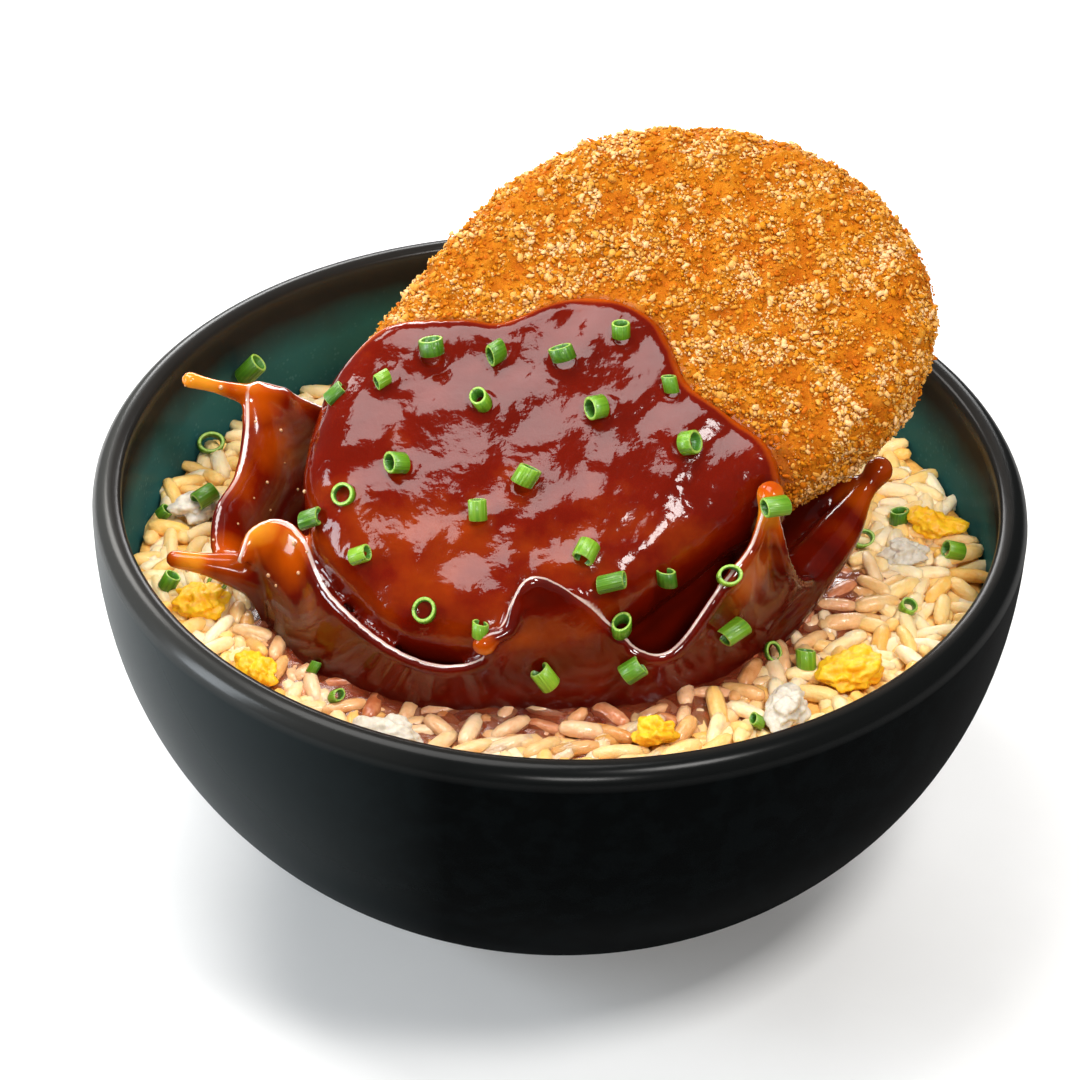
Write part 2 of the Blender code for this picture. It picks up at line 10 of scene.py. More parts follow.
import bpy
import numpy as np
from mathutils import Matrix, Vector, noise
from mathutils.bvhtree import BVHTree


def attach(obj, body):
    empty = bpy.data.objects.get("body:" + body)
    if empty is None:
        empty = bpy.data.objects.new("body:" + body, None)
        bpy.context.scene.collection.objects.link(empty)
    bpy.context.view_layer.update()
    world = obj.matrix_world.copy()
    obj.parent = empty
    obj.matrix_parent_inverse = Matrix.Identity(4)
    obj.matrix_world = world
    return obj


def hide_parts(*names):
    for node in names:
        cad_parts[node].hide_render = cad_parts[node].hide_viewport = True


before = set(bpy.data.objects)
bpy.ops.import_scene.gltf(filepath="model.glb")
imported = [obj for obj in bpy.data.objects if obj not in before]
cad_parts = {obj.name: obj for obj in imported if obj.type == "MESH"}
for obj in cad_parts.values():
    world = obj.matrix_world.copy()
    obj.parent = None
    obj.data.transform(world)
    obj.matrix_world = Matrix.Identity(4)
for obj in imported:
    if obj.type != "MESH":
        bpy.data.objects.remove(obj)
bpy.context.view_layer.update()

MM = 0.001

# The camera, at the photo's angle
CAMERA_RISE = math.radians(36.5)
CAMERA_ROLL = math.radians(1.963)
CAMERA_AIM = Vector((-3.9, 0.0, 72.2))
CAMERA_DISTANCE = 752.66
CAMERA_LENS = 120.0
CAMERA_SENSOR = 36.0
TO_CAMERA = Vector((0, -math.cos(CAMERA_RISE), math.sin(CAMERA_RISE)))
PICTURE_RIGHT = Vector((1, 0, 0))
PICTURE_UP = TO_CAMERA.cross(PICTURE_RIGHT)

# Each light is its name, place, aim, size across and up, power in watts and colour.
WORLD_LIGHT = 0.16
LIGHTS = [
    ("overhead", (-130, 80, 640), (-20, 0, 90), (335, 335), 3.2, (1.0, 0.98, 0.95)),
    ("right_key", (210, -240, 600), (30, -10, 70), (140, 140), 2.2, (1.0, 0.98, 0.95)),
    ("back_window", (0, 660, 300), (0, 0, 90), (640, 150), 4.2, (1.0, 1.0, 1.0)),
    ("left_rim", (-700, -160, 260), (0, 0, 60), (200, 460), 4.6, (0.86, 0.94, 1.0)),
    ("front_fill", (60, -620, 420), (30, 0, 70), (170, 110), 1.8, (1.0, 0.98, 0.95)),
    ("back_left", (-300, 300, 400), (-60, 10, 75), (160, 160), 0.9, (1.0, 0.97, 0.93)),
]

# Bowl. Its belly and its inside are rounded squares, each with its own squareness.
BOWL_RADIUS = 96.3
BOWL_WIDEST = 85.7
BELLY_DEPTH = 90.6
BELLY_SQUARENESS = 2.18
BOWL_INSIDE = 90.3
INSIDE_STRAIGHT = 77.4
INSIDE_SQUARENESS = 2.5
BOWL_FLOOR = 9.0
BOWL_FLOOR_FLAT = 20.0
OUTSIDE_HEIGHTS = np.linspace(3.2, 84.5, 36)
INSIDE_DEPTHS = np.linspace(0, 1, 34)[1:-1] ** 0.8
FOOT = [(0.0, 2.2), (36.6, 2.2), (37.4, 1.4), (38.4, 0.2), (39.4, 0.0), (41.6, 0.0), (42.4, 0.6)]
LIP = [
    (96.3, 85.7), (96.1, 86.9), (95.5, 88.0), (94.6, 88.9), (93.4, 89.4), (92.2, 89.5),
    (91.2, 89.2), (90.5, 88.6), (90.25, 87.6), (90.3, 86.4),
]
BOWL_TURNS = 160

# Chicken chop, an oval slab that is a little egg shaped and leans back
CHOP_CENTRE = Vector((11.0, 6.0, 109.6))
CHOP_TILT = math.radians(30)
CHOP_TURN = math.radians(10)
CHOP_RADIUS = 56.5
CHOP_OVAL = 11.7
CHOP_OVAL_ANGLE = math.radians(49)
CHOP_EGG = 3.7
CHOP_EGG_ANGLE = math.radians(5)
CHOP_HALF = 9.0
CHOP_DOME = 1.2
CHOP_FACE = 0.42
UPHILL = Vector((
    math.sin(CHOP_TURN) * math.cos(CHOP_TILT), math.cos(CHOP_TURN) * math.cos(CHOP_TILT),
    math.sin(CHOP_TILT),
))
ACROSS = Vector((math.cos(CHOP_TURN), -math.sin(CHOP_TURN), 0.0))
OUTWARD = ACROSS.cross(UPHILL)
CRUST_CELL = 0.75
# Each layer of noise is its strength, the size of its lumps and its shift.
CRAGS = [(0.9, 5.0, 0.0), (0.8, 2.3, 7.0)]
CRAG_EDGE = 0.55
CRAG_DEEPEST = 0.9
CRAG_HIGHEST = 1.3
CRAG_UNDER = 0.8
CRAG_FADE = 3.0
CRAG_LEAST = 0.15
CRUMB_CLUMPS = [(1.0, 6.5, 2.0), (0.7, 2.8, 5.0)]
# Crumbs: how many, their least length, its spread and the dice's seed
FLAKES = (9500, 0.6, 0.34, 11)
GRIT = (24000, 0.5, 0.18, 12)
CRUMB_LONGEST = 2.2
CRUMB_WIDTHS = (0.5, 1.0)
CRUMB_HEIGHT = 0.8
CRUMB_LIFT = 0.15
CRUMB_GAP = 1.0
CRUMB_STRAY = 0.45
CRUMB_TILT = 0.35
CRUMBS_UNDER = 0.6
# The crust is wet beside the sauce, and further right of its middle: from, over
WET_REACH = 2.0
WET_REACH_RIGHT = 4.0
WET_RIGHT = (12.0, 18.0)

# Rice: a level heap with a mound, loose grains on a lumpy core
RICE_LEVEL = 65.0
RICE_TILT = Vector((2.0, -2.5))
RICE_LUMP = 18.0
MOUND_CENTRE = Vector((12.0, 28.0))
MOUND_REACH = Vector((38.0, 44.0))
MOUND_HEIGHT = 60.0
GRAIN_LENGTH = 10.6
GRAIN_LONGEST = 1.12
GRAIN_WIDTH = 3.6
GRAIN_WIDTHS = (0.88, 1.1)
GRAIN_FLATNESS = 0.84
GRAIN_BLUNTNESS = 4.0
GRAIN_BEND = 0.35
GRAIN_STEP = 3.35
GRAIN_ROW_STEP = 0.9
GRAIN_STRAY = 1.1
# Grains on top lie flatter and are longer: tilt, least share of the length, lifts
TOP_GRAINS = (0.15, 0.8, (0.8, 1.6))
LOW_GRAINS = (0.24, 0.6, (-1.1, 0.2))
GRAIN_ROLL = 0.6
GRAIN_SOAK = 0.6
ROOM_UNDER_SAUCE = 3.0
ROOM_UNDER_CHOP = 1.6
ROOM_BESIDE_EGG = 1.2
STEEP = 0.75
STEEP_GRAINS = 2
CORE_CELLS = 150
CORE_DROP = 0.5
CORE_LUMP = 0.8
FILM_CELLS = 150
FILM_RISE = 2.3
FILM_START = 0.40
FILM_SWELL = 0.8
FILM_THICK = 1.2
FILM_LEAST = 0.12
# Sauce has soaked the rice this far from the pool, and further on some sides,
# each with its bearing and width in degrees and its share.
STAIN_REACH = 4.5
STAIN_SPREAD = 14.0
STAIN_SIDES = [(-88, 60, 1.0), (-15, 28, 0.9)]
STAIN_PATCHES = [(0.35, 7.0, 0.0), (0.25, 2.6, 0.0)]
STAIN_CLIMB = 6.0

# Sauce. The coat's edge is (across, uphill) on the chop, and the pool's is (x, y).
COAT = 3.0
COAT_ROOT = 1.5
COAT_LIP = 3.6
# Its lumps are drawn out down the chop, at a slant that wanders.
COAT_LUMPS = 0.95
COAT_FLOW = (9.0, 13.0, 9.0)
COAT_SLANT = 0.3
COAT_WANDER = [(0.7, 14.0, 9.0)]
COAT_DIMPLES = [(0.40, 6.5, 4.0)]
COAT_EDGE = [
    (-62, -14), (-50, -3), (-44, 1), (-32, 3), (-24, 3), (-16, 8), (-9, 11), (-1, 11),
    (6, 8), (10, 3), (15, -5), (25, -11), (33, -16), (37, -25), (38, -40), (30, -70),
]
POOL_LEVEL = 69.5
POOL_DEPTH = 9.0
POOL_BEVEL = 1.0
POOL_EDGE = [
    (-44, 26), (-50, 14), (-55, 2), (-59, -12), (-58, -23), (-52, -33), (-44, -41),
    (-33, -46), (-20, -49), (-6, -49), (8, -48), (20, -45), (31, -38), (40, -28),
    (50, -13), (55, -2), (50, 10), (20, 22), (-16, 30), (-34, 32),
]
SHEET_ROOT = 64.0
SHEET_THICK = 2.6
SHEET_BEAD = 1.25
CURTAIN_BEAD = 0.6
KNEE_OUT = 0.2
KNEE_UP = 0.65
SAUCE_CELL = 0.7
SHEET_STEPS = 6
FINGER_STEPS = 6
SHEET_RISE = 16
THICK_SAUCE = 8.0
THIN_SPREAD = 6
CROWN_TURNS = 18
MARK_SPREAD = 3
# Each station of a sheet is its foot (x, y) and its rim (x, y, z).
LEFT_SHEET = [
    ((-36, 29), (-35, 29, 67)), ((-39, 28), (-39, 28, 73)), ((-43, 27), (-45, 28, 80)),
    ((-48, 22), (-55, 27, 86)), ((-52, 15), (-62, 25, 91)), ((-55, 8), (-66, 21, 93)),
    ((-57, 1), (-66, 13, 87)), ((-59, -6), (-67, 3, 83)), ((-60, -12), (-70, -7, 82)),
    ((-60, -17), (-70, -15, 78)), ((-59, -22), (-66, -21, 75)),
]
FRONT_SHEET = [
    ((-60, -16), (-64, -23, 82)), ((-58, -22), (-62, -20, 86)), ((-55, -28), (-57, -19, 88)),
    ((-51, -34), (-52, -23, 87)), ((-45, -40), (-46, -36, 83.5)), ((-34, -46), (-34, -47.5, 79.8)),
    ((-22, -49), (-23, -52, 78.2)), ((-14, -49), (-14, -52, 80.4)), ((-9, -49), (-10, -50, 87)),
    ((-4, -49), (-6, -48, 97)), ((1, -49), (0, -47, 95)), ((8, -48), (8, -46, 87)),
    ((17, -46), (17, -48, 80)), ((25, -42), (24, -46, 80.3)), ((31, -39), (32, -40.5, 91)),
    ((37, -33), (38, -35, 97.5)), ((41, -28), (41, -32, 105)), ((45, -22), (45, -31, 92)),
    ((49, -16), (49, -22, 80)), ((52, -10), (54, -12, 74)), ((53, -5), (54, -6, 68)),
]
# Sauce that runs off the chop's raised edge into the pool
CURTAIN = [
    ((2, -43), (2, -43, 74)), ((12, -39), (13, -39, 79)), ((20, -34), (21, -34, 84)),
    ((28, -28), (30, -28, 89)), ((35, -20), (37, -22, 94)), ((39, -12), (42, -15, 97)),
    ((40, -5), (43, -8, 88)), ((40, 2), (42, 0, 77)), ((39, 8), (40, 7, 67)),
]
# A finger is a run of (x, y, z, radius), and it ends in a round drop.
FINGERS = [
    [(-60, 25, 88, 3.2), (-66, 21, 92, 2.4), (-73, 18, 96, 1.5), (-78, 17, 98, 1.8)],
    [(-60, -18, 73, 4.6), (-66, -19, 76, 3.8), (-72, -20, 78, 2.4), (-78, -20, 79, 1.9)],
    [(-8, -49, 92, 1.7), (-9, -51, 88, 1.5), (-11.5, -52, 87, 1.4), (-14, -52.5, 85.3, 2.3)],
    [(40, -31, 98, 2.0), (41, -31, 104, 2.3), (41, -31, 108, 2.9)],
    [
        (40, -24, 66, 6.5), (50, -13, 74, 6.0), (58, -3, 79.5, 4.8), (63, 4, 84.5, 2.4),
        (66, 7, 88, 3.1),
    ],
    [(38, -17, 66, 6.0), (46, -5, 73, 6.0), (52, 5, 78, 5.2), (58, 7, 82, 3.4), (63, 6, 85, 2.2)],
]
# Bubbles are caught in the sheets to the left of this side.
BUBBLES = 22
BUBBLE_SIDE = -50.0
BUBBLE_SIZES = (0.45, 1.1)
# Where the sauce is painted amber to glow, as light through thin sauce: (x, y, z), reach and
# strength
GLOWS = [
    (-77, 17, 97, 12, 0.95), (-66, 22, 94, 12, 0.80), (-56, 26, 90, 9, 0.55),
    (-70, 2, 84, 11, 0.65), (-75, -20, 79, 9, 0.90), (-67, -18, 78, 9, 0.80),
    (-60, 12, 84, 13, 0.52), (-6, -48, 84, 14, 0.40),
    (-62, -20, 88, 11, 0.92), (-54, -24, 86, 12, 0.76), (-48, -34, 80, 9, 0.48),
    (-14, -53, 85, 4, 1.0), (-7, -49, 92, 6, 0.45), (6, -47, 88, 7, 0.42),
    (38, -36, 92, 11, 0.66), (41, -31, 106, 11, 0.95), (67, 8, 88, 8, 0.76),
    (20, -46, 79, 9, 0.40), (52, -11, 76, 9, 0.56), (62, 2, 83, 8, 0.84), (57, -5, 79, 8, 0.80),
]
# The painted glow of the coat on the chop and of the rest of the sauce
COAT_GLOW = 0.36
CROWN_GLOW = 0.30
# The coat's painted glow is a little stronger towards its lower edge: from this far down, over
# this.
LOW_GLOW = 0.10
LOW_GLOW_START = -20.0
LOW_GLOW_FADE = 25.0
COAT_REACH = 5.8
LIP_GLOW = 0.60
LIP_REACH = 1.8
# The rims of the thrown up sheets and of the first, thin fingers shine.
RIM_STEPS = 12
RIM_REACH = 2.0
RIM_FADE = 0.7
THIN_FINGERS = 4
# A painted highlight, a bright line, runs along the top of each thrown up sheet's rim.
PAINTED_HIGHLIGHT_REACH = 2.0
PAINTED_HIGHLIGHT_HALF = 0.22
PAINTED_HIGHLIGHT_EDGE = 0.42
PAINTED_HIGHLIGHT_FADE = 0.5

# Egg: the size and depth of its curds, and its lumps on the rice by their middle
# (x, y), length, width and heading in degrees
EGG_THICK = 5.2
EGG_SINK = 0.2
EGG_CURDS = {"yolk": (1.5, 0.8), "white": (3.0, 0.6)}
EGGS = {
    "yolk": [
        (60, -37, 13, 9, 35), (80, 15, 12, 8, -20), (-73, -18, 11, 8, 10), (-60, -41, 9, 7, -30),
        (20, -59, 8, 5, 10), (63, 26, 8, 5, 30),
    ],
    "white": [
        (46, -50, 12, 8, 60), (-33, -59, 13, 8, -15), (73, 5, 10, 6, 20), (-77, 17, 11, 8, 40),
    ],
}

# Spring onion rings. Each lies where its sight line from the viewpoint, which
# passes through (x, y) on the level of the rice, first meets the food. Its axis
# has a bearing in the picture and a lean away from the viewer, in degrees, and
# then come its diameter and length.
VIEWPOINT = Vector((-4.0, -605.0, 520.0))
SIGHT_LEVEL = 68.0
RING_SINK = 0.75
RICE_RING_SINK = -1.6
WALL_RING_SINK = -0.2
RING_LAP = 0.3
RING_LAP_REACH = 0.9
RING_WALL = 0.14
RING_SQUASH = 0.14
RING_SLANT = 0.9
SAUCE_RINGS = [
    (-30, 76, 100, 75, 5.6, 3.2), (-15, 75, 215, 60, 4.3, 3.5), (-40, 63, 215, 65, 3.2, 3.2),
    (-18, 56, 130, 50, 4.1, 2.8), (-50, 57, 45, 85, 2.9, 4.2), (-35, 30, 180, 60, 4.5, 3.5),
    (-46, 19, 155, 25, 5.0, 1.6), (-51, 10, 20, 80, 3.8, 3.9), (-7, 27, 60, 75, 4.7, 4.0),
    (0, 75, 115, 70, 4.9, 3.0), (13, 86, 95, 65, 4.0, 3.0), (8, 54, 195, 55, 4.9, 3.5),
    (24, 65, 105, 70, 3.1, 3.5), (28, 42, 10, 50, 5.0, 3.2), (-17, 14, 95, 80, 3.4, 4.2),
    (-41, -2, 20, 65, 3.6, 3.7), (-27, -20, 130, 20, 4.9, 1.6), (-15, -26, 90, 75, 3.8, 3.2),
    (6, 1, 245, 65, 4.5, 4.0), (11, -8, 15, 85, 3.6, 5.3), (22, -5, 100, 65, 4.0, 3.3),
    (36, -5.0, 60, 15, 4.5, 2.1), (12, -24.6, 95, 40, 4.5, 3.0), (16, -35, 35, 75, 4.5, 4.4),
    (-2, -39, 130, 75, 4.1, 4.4), (35, -22, 215, 75, 4.3, 5.3), (46, 22, 190, 75, 4.1, 4.8),
]
RICE_RINGS = [
    (64, 5, 60, 20, 4.3, 1.8), (44, -34, 20, 20, 4.1, 1.6), (51, -37, 95, 80, 4.0, 3.9),
    (-80, -18, 60, 70, 3.6, 3.5), (73, 14, 90, 60, 3.8, 3.0), (84, 3, 170, 70, 3.8, 3.9),
    (72, -18, 60, 40, 3.6, 2.1), (-84, 7, 40, 60, 3.1, 2.6), (-69, -18, 0, 20, 4.1, 1.4),
    (-48, -44, 60, 80, 2.2, 2.6), (-43, -52, 20, 50, 2.7, 1.8), (40, -56, 150, 70, 2.7, 2.1),
]
EGG_RINGS = [(-77, 16, 215, 75, 4.1, 4.8)]
WALL_RINGS = [(-73, 68, 45, 75, 4.6, 5.6), (-79, 38, 60, 20, 5.4, 2.2)]


class Wire:
    """An output of a material's node. Sums on it add Math nodes."""

    def __init__(self, finish, socket):
        self.finish = finish
        self.socket = socket

    def sum(self, operation, first, second):
        return self.finish.node("Math", {0: first, 1: second}, operation=operation)

    def __add__(self, other):
        return self.sum("ADD", self, other)

    def __sub__(self, other):
        return self.sum("SUBTRACT", self, other)

    def __rsub__(self, other):
        return self.sum("SUBTRACT", other, self)

    def __mul__(self, other):
        return self.sum("MULTIPLY", self, other)

    __radd__ = __add__
    __rmul__ = __mul__

    def within(self, low, high):
        """Runs from 0 to 1 while this one runs from low to high."""
        return self.finish.node("MapRange", {"Value": self, "From Min": low, "From Max": high})


class Finish:
    """A material for one kind of surface, made one node at a time."""

    def __init__(self, name, **constants):
        self.material = bpy.data.materials.new(name)
        self.material.use_nodes = True
        tree = self.material.node_tree
        self.nodes = tree.nodes
        self.links = tree.links
        self.shader = self.nodes["Principled BSDF"]
        self.feed(**constants)
        self.place = self.node("TexCoord", output="Object")

    def feed(self, **sockets):
        """Sets or links the shader's sockets, such as coat_weight."""
        for name, value in sockets.items():
            self.join(value, self.shader.inputs[self.label(name)])

    def soften(self, weight, reach, colours):
        """Lets light in under the surface, by millimetres and by its share of each colour."""
        self.feed(subsurface_weight=weight, subsurface_scale=reach * MM, subsurface_radius=colours)

    def label(self, name):
        return name.replace("_", " ").title().replace("Ior", "IOR")

    def join(self, value, socket):
        if isinstance(value, Wire):
            self.links.new(value.socket, socket)
        else:
            socket.default_value = value

    def node(self, kind, sockets=None, output=0, stops=None, **settings):
        made = self.nodes.new("ShaderNode" + kind)
        for name, value in settings.items():
            setattr(made, name, value)
        if stops:
            ramp = made.color_ramp.elements
            while len(ramp) < len(stops):
                ramp.new(0.5)
            for element, (position, colour) in zip(ramp, stops):
                element.position = position
                element.color = (*colour, 1.0)
        for name, value in (sockets or {}).items():
            self.join(value, made.inputs[name])
        return Wire(self, made.outputs[output])

    def cloud(self, size, detail=2.0, roughness=0.5):
        """Soft noise from 0 to 1 with lumps about this many millimetres across."""
        scale = 1 / (size * MM)
        sockets = {"Vector": self.place, "Scale": scale, "Detail": detail, "Roughness": roughness}
        return self.node("TexNoise", sockets)

    def cells(self, size):
        return self.node("TexVoronoi", {"Vector": self.place, "Scale": 1 / (size * MM)})

    def along(self, axis):
        """The place along x, y or z."""
        return self.node("SeparateXYZ", {0: self.place}, output="xyz".index(axis))

    def mark(self, name):
        """A number kept on the mesh's points."""
        return self.node("Attribute", output="Fac", attribute_name=name)

    def shades(self, amount, *stops):
        return self.node("ValToRGB", {0: amount}, stops=stops)

    def blend(self, amount, first, second):
        sockets = {0: amount, 6: self.opaque(first), 7: self.opaque(second)}
        return self.node("Mix", sockets, output=2, data_type="RGBA")

    def opaque(self, colour):
        return colour if isinstance(colour, Wire) else (*colour, 1.0)

    def relief(self, height, depth):
        """A bump this many millimetres deep where height runs from 0 to 1."""
        sockets = {"Height": height, "Distance": depth * MM, "Strength": 1.0}
        self.feed(normal=self.node("Bump", sockets))


def select_only(*bodies):
    if bpy.context.object and bpy.context.object.mode != "OBJECT":
        bpy.ops.object.mode_set(mode="OBJECT")
    bpy.ops.object.select_all(action="DESELECT")
    for body in bodies:
        body.select_set(True)
    if bodies:
        bpy.context.view_layer.objects.active = bodies[0]


def take_new(name):
    """Names the primitive that was just added and puts its place in its mesh."""
    body = bpy.context.object
    body.name = name
    body.data.name = name
    bpy.ops.object.transform_apply(location=True, rotation=True, scale=True)
    return body


def primitive(name, add, **settings):
    """A new body from one of Blender's primitives."""
    select_only()
    add(**settings)
    return take_new(name)


def modify(body, kind, **settings):
    """Gives the body a modifier with these settings and applies it."""
    modifier = body.modifiers.new(kind, kind)
    for name, value in settings.items():
        setattr(modifier, name, value)
    select_only(body)
    bpy.ops.object.modifier_apply(modifier=modifier.name)


def edit_all():
    """Starts to edit the active body, with the whole of it selected."""
    bpy.ops.object.mode_set(mode="EDIT")
    bpy.ops.mesh.select_all(action="SELECT")


def extrude(step):
    """Extrudes what is selected by a step in metres."""
    bpy.ops.mesh.extrude_region_move(TRANSFORM_OT_translate={"value": step})


def face_outward():
    """Turns every face outward and leaves edit mode."""
    bpy.ops.mesh.select_all(action="SELECT")
    bpy.ops.mesh.normals_make_consistent(inside=False)
    bpy.ops.object.mode_set(mode="OBJECT")


def points_of(body):
    """The body's points in millimetres."""
    spots = np.empty(len(body.data.vertices) * 3)
    body.data.vertices.foreach_get("co", spots)
    return spots.reshape(-1, 3) / MM


def move_points(body, spots):
    body.data.vertices.foreach_set("co", (np.asarray(spots) * MM).ravel())
    body.data.update()


def normals_of(body):
    normals = np.empty(len(body.data.vertices) * 3)
    body.data.vertex_normals.foreach_get("vector", normals)
    return normals.reshape(-1, 3)


def set_mark(body, name, numbers):
    made = body.data.attributes.new(name, "FLOAT", "POINT")
    made.data.foreach_set("value", np.asarray(numbers, dtype=np.float32))


def tree_of(body):
    polygons = [p.vertices[:] for p in body.data.polygons]
    return BVHTree.FromPolygons([Vector(p) for p in points_of(body)], polygons)


def soft_noise(spots, size, shift=0.0):
    """Noise from -1 to 1 at each point, with lumps of this size."""
    places = np.asarray(spots) / size + shift
    return np.array([noise.noise(Vector(p)) for p in places])


def layered(spots, layers):
    """The sum of layers of noise, each its strength, size and shift."""
    return sum(strength * soft_noise(spots, size, shift) for strength, size, shift in layers)


def smooth_run(points, steps):
    """Points on a Catmull-Rom curve through the given ones."""
    ends = [points[0] * 2 - points[1], *points, points[-1] * 2 - points[-2]]
    run = []
    for a, b, c, d in zip(ends, ends[1:], ends[2:], ends[3:]):
        for step in range(steps):
            t = step / steps
            cubic = (b * 3 - a - c * 3 + d) * t**3
            square = (a * 2 - b * 5 + c * 4 - d) * t**2
            run.append(b + ((c - a) * t + square + cubic) * 0.5)
    run.append(points[-1].copy())
    return run


def smooth_loop(points, steps):
    """Points on a closed smooth curve through the given ones."""
    around = [Vector(p) for p in points[-2:] + points + points[:2]]
    run = smooth_run(around, steps)
    return run[2 * steps:-2 * steps - 1]


def bring_in(name, piece, finish, replaced=()):
    """Makes a body one piece of the object, with its finish and the nodes it replaces."""
    select_only(piece)
    piece.name = name
    piece.data.name = name
    piece.data.materials.clear()
    piece.data.materials.append(finish)
    bpy.ops.object.shade_smooth()
    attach(piece, "root")
    if replaced:
        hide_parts(*replaced)
    return piece


def scatter(name, shape, places, marks):
    """One mesh of many copies of a shape, (points, faces), in millimetres.

    Each place is a 4 x 4 matrix, and marks are numbers kept on each copy.
    """
    points, faces = shape
    full = np.c_[points, np.ones(len(points))]
    spots = np.concatenate([(full @ np.array(place).T)[:, :3] for place in places])
    mesh = bpy.data.meshes.new(name)
    starts = range(0, len(places) * len(points), len(points))
    mesh.from_pydata(spots * MM, [], [[s + i for i in face] for s in starts for face in faces])
    body = bpy.data.objects.new(name, mesh)
    bpy.context.scene.collection.objects.link(body)
    for mark, numbers in marks.items():
        set_mark(body, mark, np.repeat(numbers, len(points)))
    return body


def shape_of(body):
    """The points and faces of a body made in metres for a size of 1, which is removed."""
    shape = points_of(body) * MM, [p.vertices[:] for p in body.data.polygons]
    bpy.data.objects.remove(body, do_unlink=True)
    return shape


def bowl_outside(z):
    down = (BOWL_WIDEST - z) / BELLY_DEPTH
    return BOWL_RADIUS * (1 - down**BELLY_SQUARENESS) ** (1 / BELLY_SQUARENESS)


def bowl_inside(z):
    down = max(INSIDE_STRAIGHT - z, 0) / (INSIDE_STRAIGHT - BOWL_FLOOR)
    return BOWL_INSIDE * max(1 - down**INSIDE_SQUARENESS, 0) ** (1 / INSIDE_SQUARENESS)


def turned(name, profile, turns):
    """A body of revolution: one corner is extruded along (radius, z) points and spun."""
    select_only()
    start = Vector((profile[0][0], 0, profile[0][1]))
    bpy.ops.mesh.primitive_plane_add(size=MM, location=start * MM)
    bpy.ops.object.mode_set(mode="EDIT")
    bpy.ops.mesh.merge(type="CENTER")
    for (r0, z0), (r1, z1) in zip(profile, profile[1:]):
        extrude(((r1 - r0) * MM, 0, (z1 - z0) * MM))
    bpy.ops.mesh.select_all(action="SELECT")
    bpy.ops.mesh.spin(steps=turns, angle=2 * math.pi, center=(0, 0, 0), axis=(0, 0, 1))
    bpy.ops.mesh.select_all(action="SELECT")
    bpy.ops.mesh.remove_doubles(threshold=0.01 * MM)
    face_outward()
    return take_new(name)


def make_bowl():
    profile = list(FOOT)
    profile += [(bowl_outside(z), z) for z in OUTSIDE_HEIGHTS]
    profile += LIP
    top = LIP[-1][1]
    profile += [(bowl_inside(z), z) for z in top - (top - BOWL_FLOOR) * INSIDE_DEPTHS]
    profile += [(BOWL_FLOOR_FLAT, BOWL_FLOOR), (0.0, BOWL_FLOOR)]
    bowl = turned("bowl_glazed", profile, BOWL_TURNS)
    x, y, z = points_of(bowl).T
    inner = (normals_of(bowl)[:, :2] * np.c_[x, y]).sum(axis=1) < 0
    set_mark(bowl, "inner", inner & (z > 5))
    return bring_in("bowl_glazed", bowl, glaze_finish(), ["bowl"])


def glaze_finish():
    """Near black satin outside, a brown lip and a speckled dark teal inside, with a painted sheen
    that lightens the outside and the lip's edge towards the left.
    """
    glaze = Finish("bowl glaze", specular_ior_level=0.0, coat_roughness=0.22, coat_ior=1.4)
    inside = glaze.mark("inner")
    z = glaze.along("z")
    drift = glaze.cloud(14, 3)
    speck = glaze.cells(1.3).within(0.34, 0.12)
    cast = glaze.cloud(5, 4).within(0.45, 0.6)
    deep = (z + drift * (5 * MM)).within(85 * MM, 75 * MM)
    teal = glaze.blend(speck * cast * 0.5, (0.020, 0.098, 0.100), (0.07, 0.20, 0.19))
    teal = glaze.blend(drift.within(0.3, 0.7) * 0.5, teal, (0.022, 0.070, 0.072))
    band = glaze.blend(drift, (0.009, 0.0085, 0.008), (0.018, 0.016, 0.014))
    lining = glaze.blend(deep, band, teal)
    black = glaze.blend(cast, (0.0004, 0.0007, 0.0008), (0.0009, 0.0015, 0.0017))
    lip = z.within(85.0 * MM, 87.5 * MM)
    # Painted sheen: towards the left the outside and the lip's edge are painted a lighter slate
    # grey, and the outside gets more coat there.
    side = glaze.along("x").within(-20 * MM, -90 * MM)
    black = glaze.blend(side, black, (0.010, 0.017, 0.019))
    edge = glaze.blend(side, (0.004, 0.0045, 0.0045), (0.034, 0.034, 0.032))
    glaze.feed(base_color=glaze.blend(inside, glaze.blend(lip, black, edge), lining))
    glaze.feed(roughness=0.46 - lip * 0.15 + drift * 0.06)
    glaze.feed(coat_weight=lip * 0.28 + inside * 0.08 + side * (1 - inside) * 0.30 + 0.04)
    glaze.relief(glaze.cloud(0.9, 3) * 0.3 + drift * 0.7, 0.09)
    return glaze.material


def chop_outline(turn):
    oval = CHOP_OVAL * np.cos(2 * (turn - CHOP_OVAL_ANGLE))
    return CHOP_RADIUS + oval + CHOP_EGG * np.cos(3 * (turn - CHOP_EGG_ANGLE))


